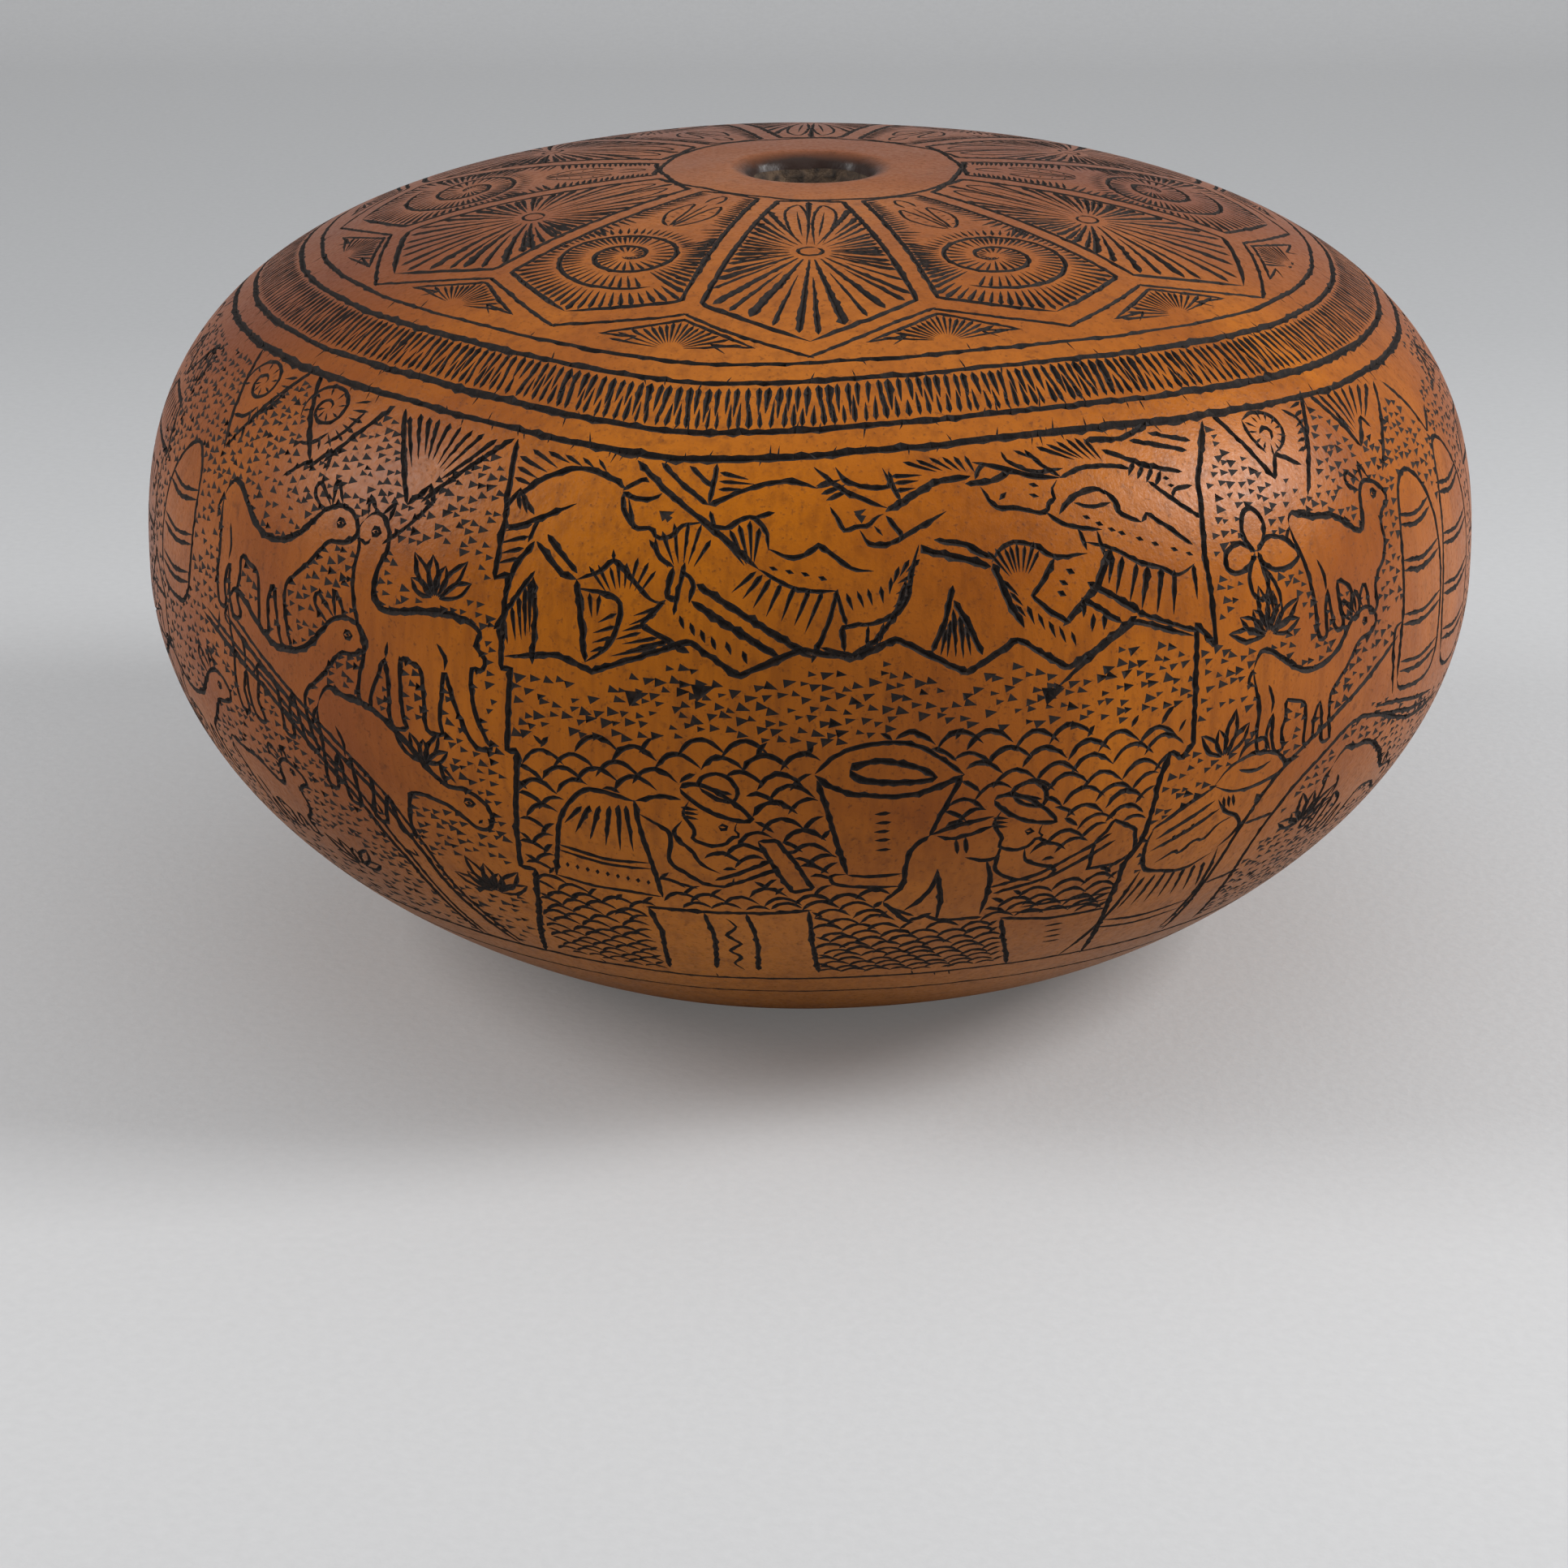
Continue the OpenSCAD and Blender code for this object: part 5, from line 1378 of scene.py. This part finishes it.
def add_stem_pit():
    """The torn end of the stem: the hole's cork wall and its rough face."""
    n = 96
    angle = np.linspace(0, TAU, n + 1)[:-1]
    top = LINE_Z[0]
    line = [(LIP_R - 2.3, top - 1.7), (6.0, top - 2.1), (5.75, top - 2.6), (5.6, top - 3.1), (5.3, top - 3.5)]
    line += [(r, top - 3.7 - 0.5 * (1 - (r / 5.3) ** 2)) for r in np.linspace(5.0, 0.25, 22)]
    r, z = np.array(line).T
    share = np.clip(np.arange(len(line)) / 4, 0, 1)[:, None]
    rough = rng.normal(0, 1, (len(line), n))
    rough = (rough + np.roll(rough, 1, 1) + np.roll(rough, -1, 1)) / 3
    across = r[:, None] * (1 + pit_ripple(angle)[None, :] * (1 - 0.6 * share)) + 0.1 * rough * share
    lumps = 0.3 * np.sin(5 * angle[None, :] + r[:, None] * 1.6) * np.sin(r[:, None] * 1.9) + 0.22 * rough
    up = z[:, None] + lumps * share * (r[:, None] < 5.2)
    spots = np.stack([across * np.sin(angle), -across * np.cos(angle), up], -1).reshape(-1, 3) * MM
    faces = [list(f) for f in grid_faces(len(line), n)]
    faces.append([(len(line) - 1) * n + i for i in range(n)])
    return mesh_piece("stem_pit_cork", spots, faces)


def add_stem_fibres():
    """Broken fibres that stand and lean in the pit."""
    spots, faces = [], []
    sides, steps = 5, 4
    for _ in range(46):
        a, r = rng.uniform(0, TAU), 5.1 * math.sqrt(rng.uniform(0.02, 1))
        tall, lean, way = rng.uniform(0.8, 2.0), rng.uniform(0.2, 1.3), rng.uniform(0, TAU)
        thick = rng.uniform(0.07, 0.17)
        start = len(spots)
        for k in range(steps + 1):
            t = k / steps
            cx = r * math.cos(a) + lean * t * t * math.cos(way) * (0.4 if r > 4.2 else 1)
            cy = r * math.sin(a) + lean * t * t * math.sin(way) * (0.4 if r > 4.2 else 1)
            cz = LINE_Z[0] - 4.3 + tall * t
            w = thick * (1 - 0.8 * t)
            spots += [(cx + w * math.cos(b), cy + w * math.sin(b),
                       cz) for b in np.arange(sides) * TAU / sides]
        faces += (start + grid_faces(steps + 1, sides)).tolist()
        faces += [[start + j for j in reversed(range(sides))],
                  [start + sides * steps + j for j in range(sides)]]
    return mesh_piece("stem_fibres", np.array(spots) * MM, faces)


def turned_parts():
    """The uncarved rows that close the sheet: in to the pit's lip, and down over the foot."""
    turn = np.linspace(SEAM, SEAM + FULL_TURN, COLUMNS + 1)[:-1]

    def rows_at(heights):
        return np.stack([skin(turn, np.full(COLUMNS, y)) for y in heights])

    profile = [(LIP_R - inward, LINE_Z[0] - SKIN_SINK - drop) for inward, drop in
               ((0.6, 0.1), (1.2, 0.28), (1.7, 0.55), (2.1, 0.95), (2.35, 1.5))]
    lip = turned_rows(profile, turn / HALF)
    growing = np.linspace(0, 1, len(profile))[:, None]
    lip[:, :, :2] *= (1 + pit_ripple(turn / HALF)[None, :] * growing)[:, :, None]
    crown = np.concatenate([rows_at(np.linspace(TOP_Y, LINE_Y[0], 9)), lip])
    under = -104
    foot = rows_at(np.concatenate([np.linspace(under, FOOT_Y, 22)[::-1],
                                   np.linspace(under, LINE_Y[-1], 26)[1:]]))
    return {"rind_crown": (crown, grid_faces(len(crown), COLUMNS)),
            "rind_foot": (foot, grid_faces(len(foot), COLUMNS)[:, ::-1])}


def turned_uv(quads, rows):
    """Where the turned rows' corners lie on the bake: round, and along the rows from 0 to 1."""
    u = np.tile(np.arange(COLUMNS), rows) / COLUMNS
    v = np.repeat(np.linspace(0, 1, rows), COLUMNS)
    corner_u, corner_v = u[quads], v[quads]
    wrap = corner_u.max(1, keepdims=True) - corner_u > 0.5
    return np.where(wrap, corner_u + 1, corner_u).ravel(), corner_v.ravel()


def add_skin_pieces():
    """The carved skin's zones and the soot, each its own object."""
    extra = turned_parts()
    pieces = {}
    for name, (spots, faces, normals, flat, smooth) in build_skin().items():
        faces = faces.tolist()
        if name in extra:
            more, quads = extra[name]
            faces += (len(spots) + quads).tolist()
            spots = np.concatenate([spots, more.reshape(-1, 3)])
            normals = np.concatenate([normals, grid_normals(more, name == "rind_foot").reshape(-1, 3)])
            u, v = turned_uv(quads, len(more))
            if name == "rind_crown":
                flat = np.concatenate([flat * [1, 0.72], np.stack([u, 0.73 + 0.27 * v], -1)])
            else:
                flat = np.concatenate([flat * [1, 0.2] + [0, 0.8], np.stack([u, 0.79 * (1 - v)], -1)])
        pieces[name] = mesh_piece(name, spots, faces, normals if smooth else None, flat, smooth)
        if name in extra:
            weld(pieces[name])
    return pieces


def grid_normals(grid, flip):
    """Which way each point of a grid of rows faces; flip where the rows run downwards."""
    across = np.roll(grid, -1, 1) - np.roll(grid, 1, 1)
    down = np.gradient(grid, axis=0)
    n = np.cross(across, down)
    if flip:
        n = -n
    return n / np.maximum(np.linalg.norm(n, axis=-1, keepdims=True), 1e-12)


def weld(piece):
    """Joins the turned rows to the carved sheet where they meet."""
    work = bmesh.new()
    work.from_mesh(piece.data)
    bmesh.ops.remove_doubles(work, verts=work.verts, dist=2e-6)
    work.to_mesh(piece.data)
    work.free()


def hue(red, green, blue):
    """An sRGB colour of 0 to 255 as the linear one that Blender works in."""
    out = []
    for c in (red, green, blue):
        c /= 255
        out.append(c / 12.92 if c <= 0.04045 else ((c + 0.055) / 1.055) ** 2.4)
    return (*out, 1)


def joined(tree, kind, links=None, **values):
    """A node with its inputs set: values by name, links by input name or number."""
    node = tree.nodes.new(kind)
    for key, value in values.items():
        setattr(node, key, value)
    for key, value in (links or {}).items():
        socket = node.inputs[key]
        if isinstance(value, bpy.types.NodeSocket):
            tree.links.new(value, socket)
        else:
            socket.default_value = value
    return node


def group_of(name, inputs, outputs):
    """A node group with named sockets; gives its tree, what comes in and what goes out."""
    tree = bpy.data.node_groups.new(name, "ShaderNodeTree")
    for key, kind, value in inputs:
        socket = tree.interface.new_socket(key, in_out="INPUT", socket_type=kind)
        if value is not None:
            socket.default_value = value
    for key, kind in outputs:
        tree.interface.new_socket(key, in_out="OUTPUT", socket_type=kind)
    return tree, tree.nodes.new("NodeGroupInput").outputs, tree.nodes.new("NodeGroupOutput").inputs


FLOAT, VECTOR = "NodeSocketFloat", "NodeSocketVector"


def noise(tree, place, scale, detail=3.0, rough=0.5, warp=0.0):
    links = {"Vector": place, "Scale": scale, "Detail": detail, "Roughness": rough, "Distortion": warp}
    return joined(tree, "ShaderNodeTexNoise", links).outputs["Fac"]


def ramp(tree, value, low, high, out_low=0.0, out_high=1.0):
    """A value between low and high, brought in a straight line between the two outputs."""
    links = {"Value": value, "From Min": low, "From Max": high, "To Min": out_low, "To Max": out_high}
    return joined(tree, "ShaderNodeMapRange", links).outputs["Result"]


def maths(tree, operation, a, b=0.0):
    return joined(tree, "ShaderNodeMath", {0: a, 1: b}, operation=operation).outputs[0]


def vector_maths(tree, operation, a, b=(0.0, 0.0, 0.0)):
    return joined(tree, "ShaderNodeVectorMath", {0: a, 1: b}, operation=operation)


def mixed(tree, share, a, b):
    """Colour a, with this share of colour b."""
    node = joined(tree, "ShaderNodeMix", data_type="RGBA")
    for socket, value in ((node.inputs[0], share), (node.inputs[6], a), (node.inputs[7], b)):
        if isinstance(value, bpy.types.NodeSocket):
            tree.links.new(value, socket)
        else:
            socket.default_value = value
    return node.outputs[2]


def bump(tree, height, strength, distance, normal=None):
    links = {"Height": height, "Strength": strength, "Distance": distance}
    if normal is not None:
        links["Normal"] = normal
    return joined(tree, "ShaderNodeBump", links).outputs["Normal"]


def mottle_group():
    """Blotches, freckles and faint upright streaks of a dried rind, as masks."""
    tree, into, out = group_of("rind_mottle", [("Place", VECTOR, None), ("Blotch Size", FLOAT, 40.0)],
                               [("Blotch", FLOAT), ("Freckle", FLOAT), ("Streak", FLOAT), ("Pore", FLOAT)])
    place, size = into["Place"], into["Blotch Size"]
    blotch = noise(tree, place, size, 5.0, 0.58, 0.6)
    fine = noise(tree, place, 620.0, 3.0, 0.6)
    pore = noise(tree, place, 2300.0, 2.0, 0.55)
    stretched = joined(tree, "ShaderNodeMapping", {"Vector": place, "Scale": (1.0, 1.0, 0.09)}).outputs[0]
    streak = noise(tree, stretched, 900.0, 3.0, 0.6)
    for name, value in (("Blotch", ramp(tree, blotch, 0.36, 0.66)), ("Freckle", ramp(tree, fine, 0.6, 0.78)),
                        ("Streak", ramp(tree, streak, 0.45, 0.7)), ("Pore", pore)):
        tree.links.new(value, out[name])
    return tree


def new_material(name):
    material = bpy.data.materials.new(name)
    material.use_nodes = True
    tree = material.node_tree
    shader = next(n for n in tree.nodes if n.type == "BSDF_PRINCIPLED")
    place = joined(tree, "ShaderNodeTexCoord").outputs["Object"]
    return material, tree, shader, place


def put(tree, shader, **inputs):
    """Sets or links the shader's sockets by name."""
    for name, value in inputs.items():
        socket = shader.inputs[name.replace("_", " ")]
        if isinstance(value, bpy.types.NodeSocket):
            tree.links.new(value, socket)
        else:
            socket.default_value = value


def mottled(tree, place, size):
    node = tree.nodes.new("ShaderNodeGroup")
    node.node_tree = MOTTLE
    tree.links.new(place, node.inputs["Place"])
    node.inputs["Blotch Size"].default_value = size
    return node.outputs


# The middle of the rind's golden front, just under the hatched band, in metres. The redder skin round it is
# partly the rind's own tone and partly painted sheen.
GOLDEN_SPOT = (0.01, -0.064, 0.054)


def rind_material():
    """Smoked, waxed gourd skin: golden at the front and redder round it, partly its own tone and partly
    painted sheen; painted bounce light low on the belly, painted shade over the crown and in the pit's lip.
    """
    material, tree, shader, place = new_material("rind_skin")
    marks = mottled(tree, place, 34.0)
    # Golden round the front and redder away from it: partly the rind's own tone, partly painted sheen where
    # the skin turns away from the camera.
    away = vector_maths(tree, "DISTANCE", place, GOLDEN_SPOT).outputs["Value"]
    broad = noise(tree, place, 16.0, 3.0, 0.55)
    redder = maths(tree, "ADD", ramp(tree, away, 0.034, 0.096), ramp(tree, broad, 0.35, 0.7, -0.35, 0.45))
    redder = maths(tree, "MINIMUM", maths(tree, "MAXIMUM", redder, 0.0), 1.0)
    golden = mixed(tree, marks["Blotch"], hue(192, 108, 0), hue(156, 80, 0))
    ruddy = mixed(tree, marks["Blotch"], hue(156, 87, 38), hue(128, 66, 31))
    colour = mixed(tree, redder, golden, ruddy)
    spot = joined(tree, "ShaderNodeSeparateXYZ", {0: place}).outputs
    # Painted bounce light: the lower belly turns lighter and yellower, as if lit from the floor.
    colour = mixed(tree, ramp(tree, spot["Z"], 0.036, 0.01, 0.0, 0.6), colour, hue(176, 114, 48))
    # Painted shade: a dusky tint over the crown, strongest at its back.
    crown = ramp(tree, spot["Z"], 0.067, 0.081, 0.0, 0.8)
    back = ramp(tree, spot["Y"], -0.02, 0.04, 0.45, 1.0)
    colour = mixed(tree, maths(tree, "MULTIPLY", crown, back), colour, hue(112, 66, 50))
    colour = mixed(tree, maths(tree, "MULTIPLY", marks["Streak"], 0.42), colour, hue(118, 60, 8))
    colour = mixed(tree, maths(tree, "MULTIPLY", marks["Freckle"], 0.55), colour, hue(92, 46, 14))
    colour = mixed(tree, ramp(tree, marks["Pore"], 0.6, 0.72, 0.0, 0.5), colour, hue(78, 40, 14))
    # Painted shade: the skin turns near black as the lip curls down into the stem pit.
    level = vector_maths(tree, "MULTIPLY", place, (1.0, 1.0, 0.0)).outputs["Vector"]
    radius = vector_maths(tree, "LENGTH", level).outputs["Value"]
    lip = maths(tree, "MULTIPLY", ramp(tree, radius, 0.0084, 0.0066), ramp(tree, spot["Z"], 0.06, 0.066))
    colour = mixed(tree, lip, colour, hue(48, 32, 25))
    normal = bump(tree, marks["Pore"], 0.2, 0.0002)
    normal = bump(tree, marks["Blotch"], 0.12, 0.0006, normal)
    rough = ramp(tree, marks["Pore"], 0.3, 0.7, 0.31, 0.47)
    put(tree, shader, Base_Color=colour, Roughness=rough, Normal=normal)
    shader.inputs["Specular IOR Level"].default_value = 0.25
    return material


def soot_material():
    """Soot and ash rubbed into the cuts."""
    material, tree, shader, place = new_material("soot_fill")
    grit = noise(tree, place, 1500.0, 3.0, 0.6)
    colour = mixed(tree, ramp(tree, grit, 0.5, 0.75), hue(33, 26, 23), hue(58, 42, 31))
    put(tree, shader, Base_Color=colour, Roughness=0.78, Normal=bump(tree, grit, 0.4, 0.0002))
    shader.inputs["Specular IOR Level"].default_value = 0.3
    return material


def plain_material(name, light, dark, scale, rough, lift=0.0003):
    """Dry plant matter: two tones in a fine noise, with a matching bump."""
    material, tree, shader, place = new_material(name)
    marks = mottled(tree, place, scale)
    colour = mixed(tree, marks["Blotch"], light, dark)
    colour = mixed(tree, maths(tree, "MULTIPLY", marks["Freckle"], 0.6), colour, dark)
    put(tree, shader, Base_Color=colour, Roughness=rough, Normal=bump(tree, marks["Blotch"], 0.5, lift))
    return material


MOTTLE = mottle_group()


def dress():
    """Gives every piece its material, puts the new ones on their body, and hides the imported parts they
    stand in for.
    """
    rind, soot = rind_material(), soot_material()
    for name, piece in add_skin_pieces().items():
        piece.data.materials.append(rind if name.startswith("rind") else soot)
        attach(piece, "gourd")
        if name.startswith("rind"):
            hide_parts("rind_shell")
        if name.startswith("soot_ring_"):
            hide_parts(name)
    looks = {
        "pith_lining": plain_material("pith_dry", hue(226, 207, 168), hue(203, 179, 136), 120.0, 0.85),
        "blossom_end": plain_material("blossom_scar", hue(96, 66, 44), hue(52, 38, 30), 900.0, 0.9),
        "pulp_core": plain_material("pulp_dry", hue(214, 190, 146), hue(176, 146, 102), 300.0, 0.9),
        "pulp_membranes": plain_material("membrane_dry", hue(222, 202, 162), hue(188, 162, 118), 260.0, 0.8),
        "held_seeds": plain_material("seed_coat", hue(206, 178, 132), hue(168, 134, 90), 420.0, 0.6),
    }
    cork = add_stem_pit()
    cork.data.materials.append(plain_material("stem_cork_bark", hue(98, 78, 60), hue(36, 29, 25), 620.0,
                                              0.92, 0.0004))
    fibres = add_stem_fibres()
    fibres.data.materials.append(plain_material("stem_fibre_dry", hue(128, 104, 76), hue(62, 48, 38), 700.0,
                                                0.85))
    for piece, slot, node in ((cork, "cork", "stem_cork"), (fibres, "stem_fibre", "stem_strands")):
        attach(piece, "gourd")
        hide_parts(node)
    for letter in "abcd":
        looks["loose_seed_" + letter] = looks["held_seeds"]
    for node, material in looks.items():
        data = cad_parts[node].data
        data.materials.clear()
        data.materials.append(material)


def stage_sheet():
    """Floor and backdrop in one pale sheet with a soft bend; a glow seen only by the camera paints fill light
    into the floor round the gourd, lifting its shadow, and lightens the backdrop a little.
    """
    bend, far, wide = 0.12, 0.62, 1.6
    line = [(-1.1, 0.0), (far - bend, 0.0)]
    line += [(far - bend + bend * math.sin(a),
              bend - bend * math.cos(a)) for a in np.radians(range(9, 90, 9))]
    line += [(far, bend), (far, 1.2)]
    spots = [(x, y, z) for y, z in line for x in (-wide, wide)]
    faces = [(2 * i, 2 * i + 1, 2 * i + 3, 2 * i + 2) for i in range(len(line) - 1)]
    sheet = mesh_piece("backdrop", np.array(spots), faces)
    material, tree, shader, place = new_material("pale_cloth")
    weave = noise(tree, place, 900.0, 2.0, 0.5)
    depth = joined(tree, "ShaderNodeSeparateXYZ", {0: place}).outputs["Y"]
    seen = joined(tree, "ShaderNodeLightPath").outputs["Is Camera Ray"]
    # Painted fill light: camera-only glow, strongest on the floor near the gourd where its shadow lies, and a
    # little on the backdrop.
    painted_fill_near, far_glow = ramp(tree, depth, -0.12, 0.26, 0.125, 0.02), ramp(tree, depth, 0.26, 0.62, 0.0,
                                                                            0.06)
    glow = maths(tree, "MULTIPLY", seen, maths(tree, "ADD", painted_fill_near, far_glow))
    put(tree, shader, Base_Color=mixed(tree, weave, hue(184, 185, 186), hue(193, 194, 195)), Roughness=0.9,
        Normal=bump(tree, weave, 0.12, 0.0005), Emission_Color=hue(255, 250, 246), Emission_Strength=glow)
    sheet.data.materials.append(material)


def soft_light(name, spot, aim, size, power):
    """A soft window of size metres at spot, facing aim."""
    data = bpy.data.lights.new(name, "AREA")
    data.shape, data.size, data.size_y = "RECTANGLE", size[0], size[1]
    data.energy = power
    lamp = bpy.data.objects.new(name, data)
    lamp.location = spot
    lamp.rotation_euler = (Vector(aim) - Vector(spot)).to_track_quat("-Z", "Y").to_euler()
    bpy.context.scene.collection.objects.link(lamp)


# The frame's width in pixels, and the lens's reach in the same pixels.
FRAME_PIXELS, LENS_PIXELS = 1932, 5000
SENSOR_MM = 36


def light_and_camera():
    world = bpy.data.worlds.new("pale_room")
    bpy.context.scene.world = world
    world.use_nodes = True
    back = world.node_tree.nodes["Background"]
    back.inputs["Color"].default_value = hue(216, 218, 222)
    back.inputs["Strength"].default_value = 0.47
    soft_light("window_left", (-0.5, -0.07, 0.36), (0, 0, 0.05), (0.24, 0.3), 1.6)
    soft_light("window_right", (0.5, -0.07, 0.36), (0, 0, 0.05), (0.18, 0.24), 2.8)
    soft_light("ceiling", (0, 0.1, 0.95), (0, 0, 0), (1.0, 1.0), 1.2)
    data = bpy.data.cameras.new("photo_view")
    data.sensor_fit, data.sensor_width = "HORIZONTAL", SENSOR_MM
    data.lens = LENS_PIXELS * SENSOR_MM / FRAME_PIXELS
    camera = bpy.data.objects.new("photo_view", data)
    camera.location = (0, -0.4155, 0.1679)
    yaw, dip = math.radians(-0.38), math.radians(-20.35)
    aim = Vector((math.sin(yaw) * math.cos(dip), math.cos(yaw) * math.cos(dip), math.sin(dip)))
    camera.rotation_euler = aim.to_track_quat("-Z", "Y").to_euler()
    bpy.context.scene.collection.objects.link(camera)
    bpy.context.scene.camera = camera


engrave()
dress()
stage_sheet()
light_and_camera()
bpy.context.scene.view_settings.view_transform = "Standard"
bpy.context.view_layer.update()
